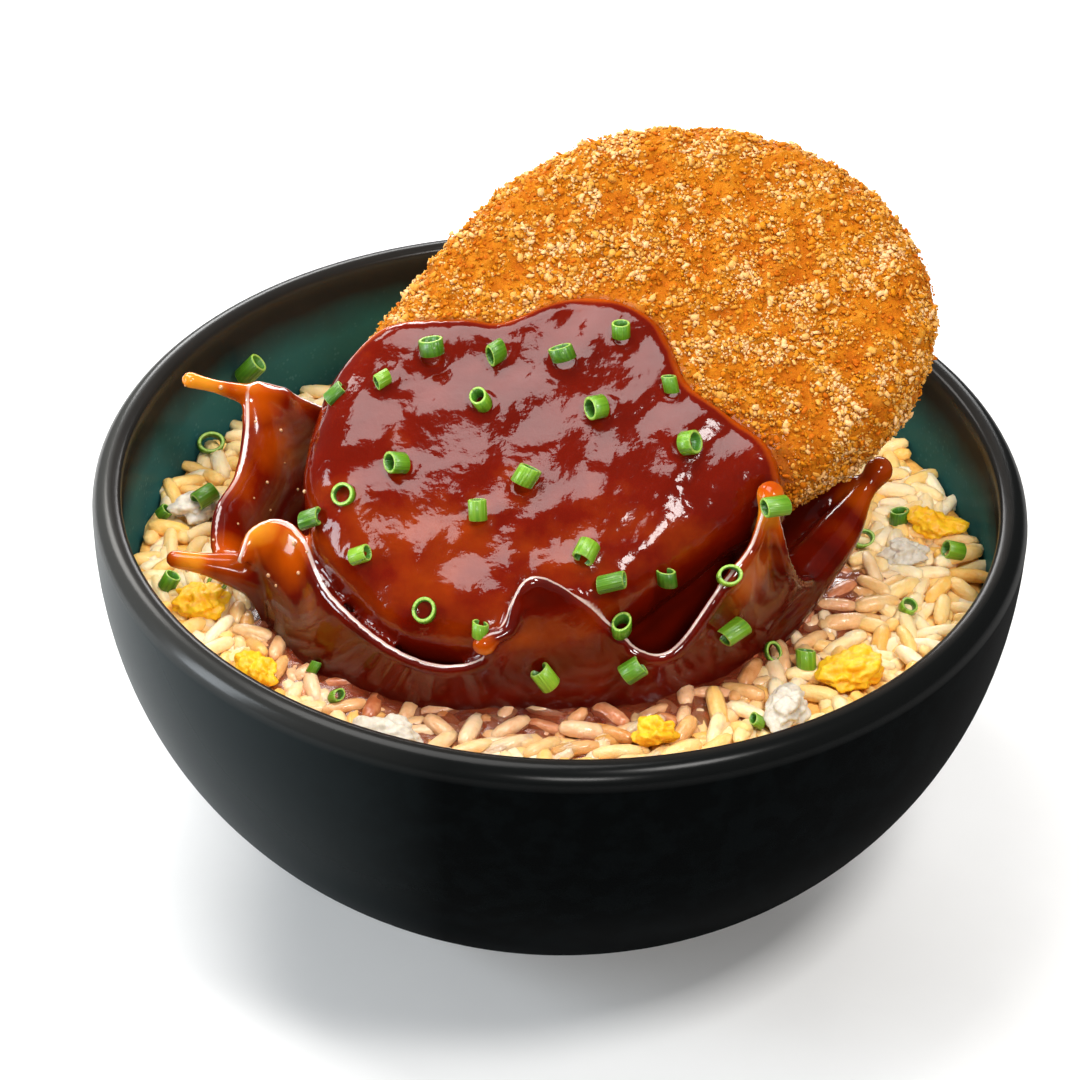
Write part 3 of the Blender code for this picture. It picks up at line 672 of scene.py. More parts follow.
def patty(name, segments, rings, thickness=None):
    """The chop's rounded oval slab, grown outward by thickness(u, v, w)."""
    add = bpy.ops.mesh.primitive_uv_sphere_add
    body = primitive(name, add, segments=segments, ring_count=rings)
    x, y, z = (points_of(body) * MM).T
    turn = np.arctan2(y, x)
    run = np.arccos(np.clip(z, -1, 1)) / math.pi
    share = np.clip(np.minimum(run, 1 - run) / CHOP_FACE, 0, 1)
    bend = math.pi / 2 * np.clip((0.5 - run) / (0.5 - CHOP_FACE), -1, 1)
    out = np.cos(bend)
    reach = (chop_outline(turn) - CHOP_HALF) * share + CHOP_HALF * out
    u = reach * np.cos(turn)
    v = reach * np.sin(turn)
    w = CHOP_HALF * np.sin(bend) + CHOP_DOME * (1 - share**2) * np.sign(bend)
    grow = thickness(u, v, w) if thickness else 0.0
    u = u + grow * out * np.cos(turn)
    v = v + grow * out * np.sin(turn)
    w = w + grow * np.sin(bend)
    spots = np.outer(u, ACROSS) + np.outer(v, UPHILL) + np.outer(w, OUTWARD)
    move_points(body, spots + np.array(CHOP_CENTRE))
    return body


def chop_coordinates(spots):
    """(across, uphill, outward) of points from the chop's middle."""
    away = np.asarray(spots) - np.array(CHOP_CENTRE)
    return away @ np.array(ACROSS), away @ np.array(UPHILL), away @ np.array(OUTWARD)


def inside_line(u, v, line):
    """Distance inside a closed line of (u, v) corners, negative outside it."""
    nearest = np.full(np.shape(u), 1e9)
    crossings = np.zeros(np.shape(u), dtype=int)
    for a, b in zip(line, line[1:] + line[:1]):
        ab = b - a
        t = np.clip(((u - a.x) * ab.x + (v - a.y) * ab.y) / ab.length_squared, 0, 1)
        nearest = np.minimum(nearest, np.hypot(u - a.x - ab.x * t, v - a.y - ab.y * t))
        if a.y != b.y:
            spans = (a.y > v) != (b.y > v)
            crossings += spans & (u < a.x + ab.x * (v - a.y) / ab.y)
    return np.where(crossings % 2, nearest, -nearest)


def inside_coat(u, v):
    edge = smooth_run([Vector(p) for p in COAT_EDGE], 5)
    far = Vector((0, -2 * CHOP_RADIUS))
    return inside_line(u, v, edge + [edge[-1] + far, edge[0] + far])


def inside_pool(x, y):
    return inside_line(x, y, smooth_loop(POOL_EDGE, 4))


def voxel_skin(body, cell):
    """Makes the body one even skin of small squares."""
    select_only(body)
    body.data.remesh_voxel_size = cell * MM
    body.data.remesh_voxel_adaptivity = 0.0
    bpy.ops.object.voxel_remesh()


def spread_mean(body, numbers, turns=1):
    """Each point's numbers averaged with those of the points joined to it."""
    edges = np.empty(len(body.data.edges) * 2, dtype=int)
    body.data.edges.foreach_get("vertices", edges)
    first, second = edges.reshape(-1, 2).T
    count = np.bincount(edges, minlength=len(numbers)) + 1.0
    if numbers.ndim > 1:
        count = count[:, None]
    for _ in range(turns):
        total = numbers.copy()
        np.add.at(total, first, numbers[second])
        np.add.at(total, second, numbers[first])
        numbers = total / count
    return numbers


def even_out(body, weights, turns):
    """Takes small steps off the skin where weights are 1, and keeps its size."""
    spots = points_of(body)
    for _ in range(turns):
        for amount in (0.6, -0.62):
            spots += (spread_mean(body, spots) - spots) * (amount * weights)[:, None]
    move_points(body, spots)


def make_chop():
    """The chop's crust, with crags of crumb over the whole of it."""
    chop = patty("chop_crust", 160, 96)
    voxel_skin(chop, CRUST_CELL)
    spots = points_of(chop)
    normals = normals_of(chop)
    rough = layered(spots, CRAGS) + CRAG_EDGE * np.abs(soft_noise(spots, 1.4, 3.0))
    u, v, _ = chop_coordinates(spots)
    bare = np.clip(-inside_coat(u, v) / CRAG_FADE, CRAG_LEAST, 1)
    lift = np.clip(rough, -CRAG_DEEPEST, CRAG_HIGHEST) * bare
    under = normals @ np.array(OUTWARD) < -0.3
    lift = np.where(under, np.minimum(lift, CRAG_UNDER), lift)
    move_points(chop, spots + normals * lift[:, None])
    set_mark(chop, "crag", rough * 0.5 + 0.5)
    set_mark(chop, "wet", wet_of(u, v))
    return bring_in("chop_crust", chop, crust_finish(), ["chicken_chop"])


def wet_of(u, v):
    """How wet the crust is beside the coat's edge, most of all on its right."""
    start, width = WET_RIGHT
    reach = WET_REACH + WET_REACH_RIGHT * np.clip((u - start) / width, 0, 1)
    return np.clip(1 + inside_coat(u, v) / reach, 0, 1)


def crust_finish():
    crust = Finish("breadcrumb crust", specular_ior_level=0.12)
    crust.soften(0.12, 4, (1.0, 0.45, 0.15))
    crag = crust.mark("crag")
    patch = crust.cloud(16, 3)
    fine = crust.cloud(0.9, 4, 0.7)
    gold = crust.shades(
        crag * 0.55 + fine * 0.5,
        (0.15, (0.37, 0.066, 0.001)), (0.40, (0.47, 0.120, 0.001)),
        (0.62, (0.52, 0.160, 0.002)), (0.9, (0.60, 0.25, 0.020)),
    )
    deep = crust.blend(patch.within(0.5, 0.7) * 0.6, gold, (0.43, 0.085, 0.001))
    # Painted shade: the crust is painted darker towards the chop's lower edge.
    low = crust.along("z").within(112 * MM, 80 * MM)
    deep = crust.blend(low * 0.75, deep, (0.30, 0.050, 0.001))
    wet = crust.mark("wet")
    crust.feed(base_color=crust.blend(wet * (0.5 + patch * 0.6), deep, (0.22, 0.022, 0.001)))
    crust.feed(roughness=0.55 + fine * 0.25 - wet * 0.3, coat_weight=wet * 0.3)
    crust.relief(fine, 0.8)
    return crust.material


def crumb_shape():
    """A torn flake of breadcrumb, 1 long, lying along X."""
    body = primitive("crumb", bpy.ops.mesh.primitive_ico_sphere_add, subdivisions=1, radius=0.5)
    spots = points_of(body)
    bumps = 1 + 0.5 * soft_noise(spots * MM, 0.4)
    move_points(body, spots * bumps[:, None] * np.array((1.0, 0.85, 0.50)))
    return shape_of(body)


def grit_shape():
    """A sharp speck of crumb, 1 long."""
    sizes = {"vertices": 4, "radius1": 0.5, "depth": 0.6, "end_fill_type": "TRIFAN"}
    return shape_of(primitive("grit", bpy.ops.mesh.primitive_cone_add, **sizes))


def make_crumbs(name, chop, shape, count, least, spread, seed):
    """Flakes over the crust where the sauce has left it bare."""
    dice = np.random.default_rng(seed)
    spots = points_of(chop)
    normals = normals_of(chop)
    u, v, _ = chop_coordinates(spots)
    bare = inside_coat(u, v) < -CRUMB_GAP
    under = normals @ np.array(OUTWARD) < -0.4
    clump = layered(spots, CRUMB_CLUMPS)
    chance = np.where(bare, np.where(under, CRUMBS_UNDER, 1.0), 0.0)
    chance *= np.clip(0.6 + 1.4 * clump, 0.12, 1.5)
    wet = wet_of(u, v)
    picks = dice.choice(len(spots), count, replace=False, p=chance / chance.sum())
    places = []
    for i in picks:
        normal = Vector(normals[i] + dice.normal(0, CRUMB_TILT, 3)).normalized()
        turn = normal.to_track_quat("Z", "Y").to_matrix().to_4x4()
        turn = turn @ Matrix.Rotation(dice.uniform(0, 2 * math.pi), 4, "Z")
        length = min(least + dice.gamma(2.0, spread), CRUMB_LONGEST)
        width = length * dice.uniform(*CRUMB_WIDTHS)
        size = Matrix.Diagonal((length, width, length * CRUMB_HEIGHT, 1))
        stray = dice.uniform(-CRUMB_STRAY, CRUMB_STRAY, 3)
        spot = Vector(spots[i] + normals[i] * CRUMB_LIFT + stray)
        places.append(Matrix.Translation(spot) @ turn @ size)
    tone = 0.55 * dice.uniform(0, 1, count) + 0.45 * np.clip(0.5 + clump[picks], 0, 1)
    crumbs = scatter(name, shape, places, {"tone": tone - 0.45 * wet[picks]})
    return bring_in(name, crumbs, crumb_finish())


def crumb_finish():
    crumb = Finish("pale crumbs", specular_ior_level=0.12)
    crumb.soften(0.15, 2, (1.0, 0.6, 0.3))
    tone = crumb.mark("tone")
    patch = crumb.cloud(14, 2)
    shade = crumb.shades(
        tone * 0.85 + patch * 0.15,
        (0.25, (0.47, 0.105, 0.001)), (0.42, (0.55, 0.190, 0.003)), (0.60, (0.65, 0.31, 0.055)),
        (0.82, (0.80, 0.48, 0.22)),
    )
    # Painted shade: the crumbs are painted darker towards the chop's lower edge.
    low = crumb.along("z").within(112 * MM, 80 * MM)
    shade = crumb.blend(low * 0.65, shade, (0.36, 0.07, 0.002))
    crumb.feed(base_color=shade, roughness=0.62 + crumb.cloud(1.2) * 0.2)
    crumb.relief(crumb.cloud(0.5, 3), 0.2)
    return crumb.material


def chop_underside(x, y):
    """Height of the chop's lower face above (x, y), taken as endless."""
    base = CHOP_CENTRE - OUTWARD * (CHOP_HALF + CHOP_DOME)
    return base.z - ((x - base.x) * OUTWARD.x + (y - base.y) * OUTWARD.y) / OUTWARD.z


def rice_top(x, y):
    """Level rice with a mound that the chop leans on."""
    away = math.hypot((x - MOUND_CENTRE.x) / MOUND_REACH.x, (y - MOUND_CENTRE.y) / MOUND_REACH.y)
    mound = MOUND_HEIGHT * max(1 - away**2, 0) ** 1.2
    level = RICE_LEVEL + RICE_TILT.dot(Vector((x, y))) / BOWL_RADIUS
    level += noise.noise(Vector((x, y, 0)) / RICE_LUMP)
    return level + min(mound, max(chop_underside(x, y) - 0.5 - level, 0))


def rice_slope(x, y):
    """The rice's normal at (x, y)."""
    back = rice_top(x - 1, y), rice_top(x, y - 1)
    ahead = rice_top(x + 1, y), rice_top(x, y + 1)
    return Vector((back[0] - ahead[0], back[1] - ahead[1], 2.0)).normalized()


def stain_at(x, y, z):
    """How much of the sauce has soaked the rice, 1 beside the pool."""
    turn = np.arctan2(y, x)
    spread = 0.0
    for bearing, width, share in STAIN_SIDES:
        aside = (turn - math.radians(bearing)) / math.radians(width)
        spread = np.maximum(spread, share * np.exp(-(aside**2)))
    away = -inside_pool(x, y) / (STAIN_REACH + STAIN_SPREAD * spread)
    patches = layered(np.c_[x, y, x * 0], STAIN_PATCHES)
    climb = np.clip((z - POOL_LEVEL - 1.5) / STAIN_CLIMB, 0, 1)
    return np.clip(1.15 - away + patches, 0, 1) * (1 - climb)


def bowl_wall(radius):
    """Height of the bowl's inner face at this radius."""
    share = max(1 - (radius / BOWL_INSIDE) ** INSIDE_SQUARENESS, 0) ** (1 / INSIDE_SQUARENESS)
    return INSIDE_STRAIGHT - (INSIDE_STRAIGHT - BOWL_FLOOR) * share


def square_grid(name, cells, size):
    add = bpy.ops.mesh.primitive_grid_add
    return primitive(name, add, x_subdivisions=cells, y_subdivisions=cells, size=size)


def make_rice_core():
    """The heap under the loose grains, lumpy on top and round like the bowl below."""
    core = square_grid("rice_core", CORE_CELLS, 2)
    edit_all()
    extrude((0, 0, 1))
    face_outward()
    spots = []
    for a, b, top in points_of(core) * MM:
        x = a * math.sqrt(1 - b * b / 2)
        y = b * math.sqrt(1 - a * a / 2)
        edge = bowl_inside(rice_top(x * BOWL_INSIDE, y * BOWL_INSIDE)) - 1.0
        x *= edge
        y *= edge
        if top > 0.5:
            z = rice_top(x, y) - CORE_DROP + CORE_LUMP * noise.noise(Vector((x, y, 0)) / 2.6)
        else:
            z = min(bowl_wall(math.hypot(x, y)) + 0.6, RICE_LEVEL - 3)
        spots.append((x, y, z))
    spots = np.array(spots)
    move_points(core, spots)
    set_mark(core, "stain", stain_at(*spots.T))
    return bring_in("rice_core", core, core_finish(), ["rice"])


def core_finish():
    core = Finish("packed rice", roughness=0.5)
    core.soften(0.1, 4, (1.0, 0.6, 0.3))
    lumps = core.cloud(2.8, 3)
    cream = core.blend(lumps, (0.74, 0.30, 0.035), (0.94, 0.56, 0.15))
    core.feed(base_color=core.blend(core.mark("stain"), cream, (0.17, 0.030, 0.010)))
    core.relief(lumps, 0.8)
    return core.material


def make_film():
    """Thin sauce that has run between the grains beside the pool."""
    film = square_grid("sauce_film", FILM_CELLS, 2 * BOWL_INSIDE * MM)
    spots = points_of(film)
    x, y = spots[:, 0], spots[:, 1]
    level = np.array([rice_top(*spot) for spot in spots[:, :2]])
    soaked = stain_at(x, y, level)
    swell = FILM_SWELL * soft_noise(np.c_[x, y, x * 0], 2.8)
    spots[:, 2] = level + FILM_RISE * (soaked - FILM_START) + swell
    move_points(film, spots)
    wet = (soaked > FILM_LEAST) & (inside_pool(x, y) < 2)
    wet &= np.hypot(x, y) < bowl_inside(RICE_LEVEL) - 1.5
    bpy.ops.object.mode_set(mode="EDIT")
    bpy.ops.mesh.select_all(action="DESELECT")
    bpy.ops.object.mode_set(mode="OBJECT")
    film.data.vertices.foreach_set("select", ~wet)
    bpy.ops.object.mode_set(mode="EDIT")
    bpy.ops.mesh.delete(type="VERT")
    bpy.ops.object.mode_set(mode="OBJECT")
    modify(film, "SOLIDIFY", thickness=FILM_THICK * MM, offset=-1)
    return bring_in("sauce_film", film, film_finish())


def film_finish():
    film = Finish("thin sauce", roughness=0.15, coat_weight=0.6, coat_roughness=0.04, alpha=0.6)
    film.soften(0.3, 3, (1.0, 0.25, 0.1))
    swirl = film.cloud(6, 3).within(0.3, 0.7)
    film.feed(base_color=film.blend(swirl, (0.12, 0.012, 0.005), (0.36, 0.07, 0.025)))
    film.relief(film.cloud(2.6, 2) * 0.7 + film.cloud(1.1, 2) * 0.3, 0.7)
    return film.material


def grain_shape():
    """A plump cooked grain along X, 1 long and 1 wide, a little bent."""
    select_only()
    bpy.ops.mesh.primitive_uv_sphere_add(segments=8, ring_count=6, radius=0.5)
    bpy.ops.transform.rotate(value=math.pi / 2, orient_axis="Y", center_override=(0, 0, 0))
    grain = take_new("grain")
    x, y, z = (points_of(grain) * MM).T
    around = np.hypot(y, z)
    blunt = np.clip(1 - (2 * np.abs(x)) ** GRAIN_BLUNTNESS, 0, 1) ** 0.5
    swell = np.where(around > 1e-6, 0.5 * (blunt * 0.95 + 0.05) / np.maximum(around, 1e-6), 0)
    y = y * swell * (1 + 0.10 * x)
    z = z * swell * GRAIN_FLATNESS * (1 - 0.12 * x) - GRAIN_BEND * x * x
    move_points(grain, np.c_[x, y, z] / MM)
    return shape_of(grain)


def grain_spots(dice):
    """Where grains lie in plan, more of them where it is steep, and whether each is on top."""
    rows = int(2 * BOWL_RADIUS / GRAIN_STEP)
    for row in range(rows):
        for column in range(rows):
            x = (column + row % 2 / 2 - rows / 2) * GRAIN_STEP
            y = (row - rows / 2) * GRAIN_STEP * GRAIN_ROW_STEP
            top = row % 2 == 0 and column % 2 == 0
            for _ in range(1 if rice_slope(x, y).z > STEEP else STEEP_GRAINS):
                stray = [dice.uniform(-GRAIN_STRAY, GRAIN_STRAY) for _ in "xy"]
                yield x + stray[0], y + stray[1], top


def has_room(spot, roofs, eggs):
    """Whether a grain here is clear of the sauce and the chop above it, and of the egg."""
    if any(roof.ray_cast(spot, Vector((0, 0, 1)), room)[0] for roof, room in roofs):
        return False
    return all(egg.find_nearest(spot)[3] >= ROOM_BESIDE_EGG for egg in eggs)


def make_grains(sauce, chop, lumps):
    """Loose cooked grains over the core, where neither sauce nor egg covers it."""
    dice = random.Random(5)
    roofs = [(tree_of(sauce), ROOM_UNDER_SAUCE), (tree_of(chop), ROOM_UNDER_CHOP)]
    eggs = [tree_of(lump) for lump in lumps]
    places = []
    tones = []
    stains = []
    for x, y, top in grain_spots(dice):
        tilt, least, lifts = TOP_GRAINS if top else LOW_GRAINS
        heading = dice.uniform(0, 2 * math.pi)
        pitch = dice.gauss(0, tilt)
        roll = dice.uniform(-GRAIN_ROLL, GRAIN_ROLL)
        length = GRAIN_LENGTH * dice.triangular(least, GRAIN_LONGEST, 1.0)
        width = GRAIN_WIDTH * dice.uniform(*GRAIN_WIDTHS)
        lift = dice.uniform(*lifts)
        tone = dice.random()
        away = math.hypot(x, y)
        level = rice_top(x, y)
        stain = float(stain_at(*np.array([[x], [y], [level]]))[0])
        z = level + lift - GRAIN_SOAK * stain
        reach = length / 2 * abs(math.cos(math.atan2(y, x) - heading)) + 1.2
        if away + reach > bowl_inside(z):
            heading = math.atan2(y, x) + math.pi / 2 + pitch
            if away + width * 0.6 > bowl_inside(z):
                continue
        spot = Vector((x, y, z))
        drowned = float(inside_pool(np.array(x), np.array(y))) > 1.0 and level < POOL_LEVEL + 1
        if drowned or not has_room(spot, roofs, eggs):
            continue
        slope = rice_slope(x, y).to_track_quat("Z", "Y").to_matrix().to_4x4()
        turn = Matrix.Rotation(heading, 4, "Z") @ Matrix.Rotation(pitch, 4, "Y")
        turn = slope @ turn @ Matrix.Rotation(roll, 4, "X")
        size = Matrix.Diagonal((length, width, width, 1))
        places.append(Matrix.Translation(spot) @ turn @ size)
        tones.append(tone)
        stains.append(stain)
    marks = {"tone": np.array(tones), "stain": np.clip(np.array(stains) * 1.1 - 0.1, 0, 1)}
    grains = scatter("rice_grains", grain_shape(), places, marks)
    return bring_in("rice_grains", grains, grain_finish())


def grain_finish():
    grain = Finish("cooked grain", coat_roughness=0.12, specular_ior_level=0.3)
    grain.soften(0.3, 2, (1.0, 0.60, 0.25))
    tone = grain.mark("tone")
    mottle = grain.cloud(2.2, 3)
    cream = grain.shades(
        tone * 0.6 + mottle * 0.4,
        (0.15, (0.95, 0.49, 0.09)), (0.32, (0.98, 0.61, 0.20)), (0.55, (1.0, 0.70, 0.33)),
        (0.80, (1.0, 0.82, 0.56)),
    )
    soaked = grain.shades(
        tone * 0.5 + mottle * 0.5,
        (0.25, (0.40, 0.090, 0.035)), (0.45, (0.63, 0.24, 0.110)), (0.7, (0.82, 0.46, 0.25)),
    )
    stain = grain.mark("stain")
    grain.feed(base_color=grain.blend(stain, cream, soaked))
    grain.feed(roughness=0.36 - stain * 0.18, coat_weight=0.15 + stain * 0.45)
    grain.relief(grain.cloud(1.1, 4, 0.6), 0.34)
    return grain.material


def coat_thickness(u, v, w):
    """Full inside the coat's edge, and below the crust outside it."""
    spots = np.c_[u, v, w]
    rise = np.clip(inside_coat(u, v) / COAT_LIP + 1 / 3, 0, 1)
    flow = np.c_[u - COAT_SLANT * v, v, w] / COAT_FLOW
    flow[:, 0] += layered(spots, COAT_WANDER)
    lumps = COAT_LUMPS * soft_noise(flow, 1.0) + layered(spots, COAT_DIMPLES)
    grow = (COAT + lumps + COAT_ROOT) * np.sqrt(rise * (2 - rise)) - COAT_ROOT
    return np.where(w < -CHOP_HALF + 0.5, -COAT_ROOT, grow)


def make_pool():
    """The sauce that stands on the rice round the chop, its edge bevelled."""
    edge = smooth_loop(POOL_EDGE, 4)
    add = bpy.ops.mesh.primitive_circle_add
    pool = primitive("pool", add, vertices=len(edge), radius=1, fill_type="NGON")
    move_points(pool, [(p.x, p.y, POOL_LEVEL - POOL_DEPTH) for p in edge])
    edit_all()
    extrude((0, 0, (POOL_DEPTH - POOL_BEVEL) * MM))
    bpy.ops.mesh.inset(thickness=POOL_BEVEL * MM)
    bpy.ops.transform.translate(value=(0, 0, POOL_BEVEL * MM))
    face_outward()
    return pool


def make_tube(name, spots, sizes):
    """A round run of sauce through spots, with these radii and a ball at each end."""
    select_only()
    bpy.ops.curve.primitive_nurbs_path_add()
    tube = bpy.context.object
    tube.data.splines.clear()
    line = tube.data.splines.new("POLY")
    line.points.add(len(spots) - 1)
    for point, spot, size in zip(line.points, spots, sizes):
        point.co = (*(spot * MM), 1)
        point.radius = size
    tube.data.bevel_depth = MM
    tube.data.bevel_resolution = 3
    tube.data.use_fill_caps = True
    bpy.ops.object.convert(target="MESH")
    made = [take_new(name)]
    for i in (0, -1):
        ball = {"subdivisions": 3, "radius": sizes[i] * MM, "location": spots[i] * MM}
        made.append(primitive(name, bpy.ops.mesh.primitive_ico_sphere_add, **ball))
    return made


def make_sheet(name, stations, bead):
    """A thrown up sheet of sauce with a bead of this radius along its rim."""
    feet = smooth_run([Vector((*foot, SHEET_ROOT)) for foot, _ in stations], SHEET_STEPS)
    rims = smooth_run([Vector(rim) for _, rim in stations], SHEET_STEPS)
    add = bpy.ops.mesh.primitive_grid_add
    sheet = primitive(name, add, x_subdivisions=len(feet) - 1, y_subdivisions=SHEET_RISE, size=1)
    spots = []
    for a, b, _ in points_of(sheet) * MM:
        i = round((a + 0.5) * (len(feet) - 1))
        t = b + 0.5
        foot, rim = feet[i], rims[i]
        knee = foot * (1 - KNEE_OUT) + rim * KNEE_OUT
        knee.z = foot.z * (1 - KNEE_UP) + rim.z * KNEE_UP
        spots.append(foot * (1 - t) ** 2 + knee * 2 * t * (1 - t) + rim * t**2)
    move_points(sheet, spots)
    modify(sheet, "SOLIDIFY", thickness=SHEET_THICK * MM, offset=0)
    return [sheet, *make_tube(name, rims, [bead] * len(rims))]


def make_finger(name, stations):
    """A tapering run of sauce that is thrown out of a sheet or the pool."""
    spots = smooth_run([Vector(s[:3]) for s in stations], FINGER_STEPS)
    sizes = [size.x for size in smooth_run([Vector((s[3], 0)) for s in stations], FINGER_STEPS)]
    return make_tube(name, spots, sizes)


def make_sauce(core):
    """The coat, the pool, the thrown up sheets and their drops, run into one."""
    bodies = [patty("coat", 240, 130, coat_thickness), make_pool()]
    bodies += make_sheet("left_sheet", LEFT_SHEET, SHEET_BEAD)
    bodies += make_sheet("front_sheet", FRONT_SHEET, SHEET_BEAD)
    bodies += make_sheet("curtain", CURTAIN, CURTAIN_BEAD)
    for stations in FINGERS:
        bodies += make_finger("finger", stations)
    select_only(*bodies)
    bpy.ops.object.join()
    sauce = bodies[0]
    voxel_skin(sauce, SAUCE_CELL)
    modify(sauce, "SMOOTH", factor=0.5, iterations=8)
    chop = patty("chop_room", 120, 64)
    for cutter in (chop, core):
        modify(sauce, "BOOLEAN", operation="DIFFERENCE", solver="MANIFOLD", object=cutter)
    even_out(sauce, chop_clearance(points_of(sauce)), CROWN_TURNS)
    set_mark(sauce, "thin", thinness(sauce))
    mark_glow(sauce, tree_of(chop))
    mark_rim(sauce)
    mark_painted_highlight(sauce)
    bpy.data.objects.remove(chop, do_unlink=True)
    return bring_in("sauce_crown", sauce, sauce_finish(), ["sauce"])


def thinness(body):
    """1 where the sauce is thin under a point and 0 where it is deep."""
    tree = tree_of(body)
    spots = points_of(body)
    normals = normals_of(body)
    depth = np.full(len(spots), THICK_SAUCE)
    for i, (spot, normal) in enumerate(zip(spots, normals)):
        inward = Vector(-normal)
        found = tree.ray_cast(Vector(spot) + inward * 0.2, inward, THICK_SAUCE)[3]
        if found is not None:
            depth[i] = found
    return 1 - spread_mean(body, depth, THIN_SPREAD) / THICK_SAUCE


def chop_clearance(spots):
    """1 well away from the chop and above the rice, and 0 where the sauce meets them."""
    u, v, w = chop_coordinates(spots)
    away = np.hypot(u, v) - chop_outline(np.arctan2(v, u))
    apart = np.maximum(away, np.abs(w) - CHOP_HALF - CHOP_DOME) - 0.3
    above = spots[:, 2] - RICE_LEVEL - 4.0
    return np.clip(np.minimum(apart, above), 0, 1)


def mark_glow(body, room):
    """Marks the coat on the chop, and the sauce's painted glow from 0 where dark to 1 where amber.
    """
    spots = points_of(body)
    u, v, w = chop_coordinates(spots)
    inside = inside_coat(u, v)
    depth = np.array([room.find_nearest(Vector(spot))[3] for spot in spots])
    on_chop = np.clip((w - 2) / 5, 0, 1) * np.clip(COAT_REACH - depth, 0, 1) * (inside > -2)
    on_chop = spread_mean(body, on_chop, MARK_SPREAD)
    low = LOW_GLOW * np.clip((LOW_GLOW_START - v) / LOW_GLOW_FADE, 0, 1)
    glow = CROWN_GLOW + (COAT_GLOW + low - CROWN_GLOW) * on_chop
    lip = np.exp(-((np.maximum(inside, 0) / LIP_REACH) ** 2))
    glow = np.maximum(glow, LIP_GLOW * on_chop * lip)
    for x, y, z, reach, strength in GLOWS:
        away = np.linalg.norm(spots - np.array((x, y, z)), axis=1) / reach
        glow = np.maximum(glow, strength * np.exp(-(away**2)) * (1 - on_chop))
    set_mark(body, "coat", on_chop)
    set_mark(body, "glow", glow)


def mark_painted_highlight(body):
    """Marks how far aside of the nearest rim each point is, and whether it is on top of it, for
    the painted highlight line along the rim.
    """
    spots = points_of(body)
    nearest = np.full(len(spots), 1e9)
    aside = np.zeros(len(spots))
    height = np.zeros(len(spots))
    shown = np.zeros(len(spots))
    for sheet in (LEFT_SHEET, FRONT_SHEET):
        rims = np.array(smooth_run([Vector(rim) for _, rim in sheet], RIM_STEPS))
        ahead = np.gradient(rims, axis=0)
        across = np.cross(ahead, (0, 0, 1))
        across /= np.linalg.norm(across, axis=1)[:, None]
        tops = np.cross(across, ahead)
        tops /= np.linalg.norm(tops, axis=1)[:, None]
        left = np.arange(len(rims))[::-1] / RIM_STEPS
        for rim, side, top, run in zip(rims, across, tops, np.clip(left - 2, 0, 1)):
            step = spots - rim
            away = np.linalg.norm(step, axis=1)
            closer = away < nearest
            nearest[closer] = away[closer]
            aside[closer] = step[closer] @ side
            height[closer] = step[closer] @ top
            shown[closer] = run
    set_mark(body, "aside", aside)
    near = np.clip((PAINTED_HIGHLIGHT_REACH - nearest) / PAINTED_HIGHLIGHT_FADE, 0, 1)
    set_mark(body, "line", near * shown * np.clip(height / PAINTED_HIGHLIGHT_FADE + 1, 0, 1))


def mark_rim(body):
    """Marks the thin rims of the thrown up sheets and their fingers with 1."""
    lines = [[Vector(rim) for _, rim in sheet] for sheet in (LEFT_SHEET, FRONT_SHEET)]
    lines += [[Vector(station[:3]) for station in finger] for finger in FINGERS[:THIN_FINGERS]]
    spots = points_of(body)
    nearest = np.full(len(spots), 1e9)
    for spot in [spot for line in lines for spot in smooth_run(line, RIM_STEPS)]:
        nearest = np.minimum(nearest, np.linalg.norm(spots - np.array(spot), axis=1))
    upward = np.clip((normals_of(body)[:, 2] - 0.4) / 0.3, 0, 1)
    rim = np.clip((RIM_REACH - nearest) / RIM_FADE, 0, 1) * upward
    set_mark(body, "rim", spread_mean(body, rim, MARK_SPREAD))


def sauce_finish():
    sauce = Finish("brown sauce", ior=1.42, specular_ior_level=0.35)
    sauce.feed(coat_ior=2.3, coat_roughness=0.03)
    sauce.soften(0.15, 3, (1.0, 0.2, 0.05))
    swirl = sauce.cloud(9, 3)
    # Painted light: the colour runs from dark maroon to amber by the painted glow and by thinness,
    # standing in for light through the sauce.
    shade = sauce.shades(
        sauce.mark("glow") * 0.85 + sauce.mark("thin") * 0.15 + swirl * 0.24 - 0.12,
        (0.0, (0.013, 0.0008, 0.0006)), (0.22, (0.052, 0.0024, 0.001)),
        (0.45, (0.130, 0.0048, 0.0006)), (0.70, (0.42, 0.060, 0.001)), (0.87, (0.76, 0.27, 0.014)),
    )
    coat = sauce.mark("coat")
    ripple = sauce.cloud(7, 2) * 0.85 + sauce.cloud(1.6, 2) * 0.15
    aside = sauce.mark("aside")
    # Painted highlight: a pale line painted along the top of each thrown up sheet's rim.
    line = (aside * aside).within(PAINTED_HIGHLIGHT_EDGE**2, PAINTED_HIGHLIGHT_HALF**2) * sauce.mark("line")
    shade = sauce.blend(line * (0.30 + swirl), shade, (0.70, 0.54, 0.48))
    sauce.feed(base_color=shade, roughness=0.07 + swirl * 0.06)
    sauce.feed(coat_weight=sauce.mark("rim") * 0.36)
    sauce.relief(ripple * (coat * 0.8 + 0.2), 0.6)
    return sauce.material


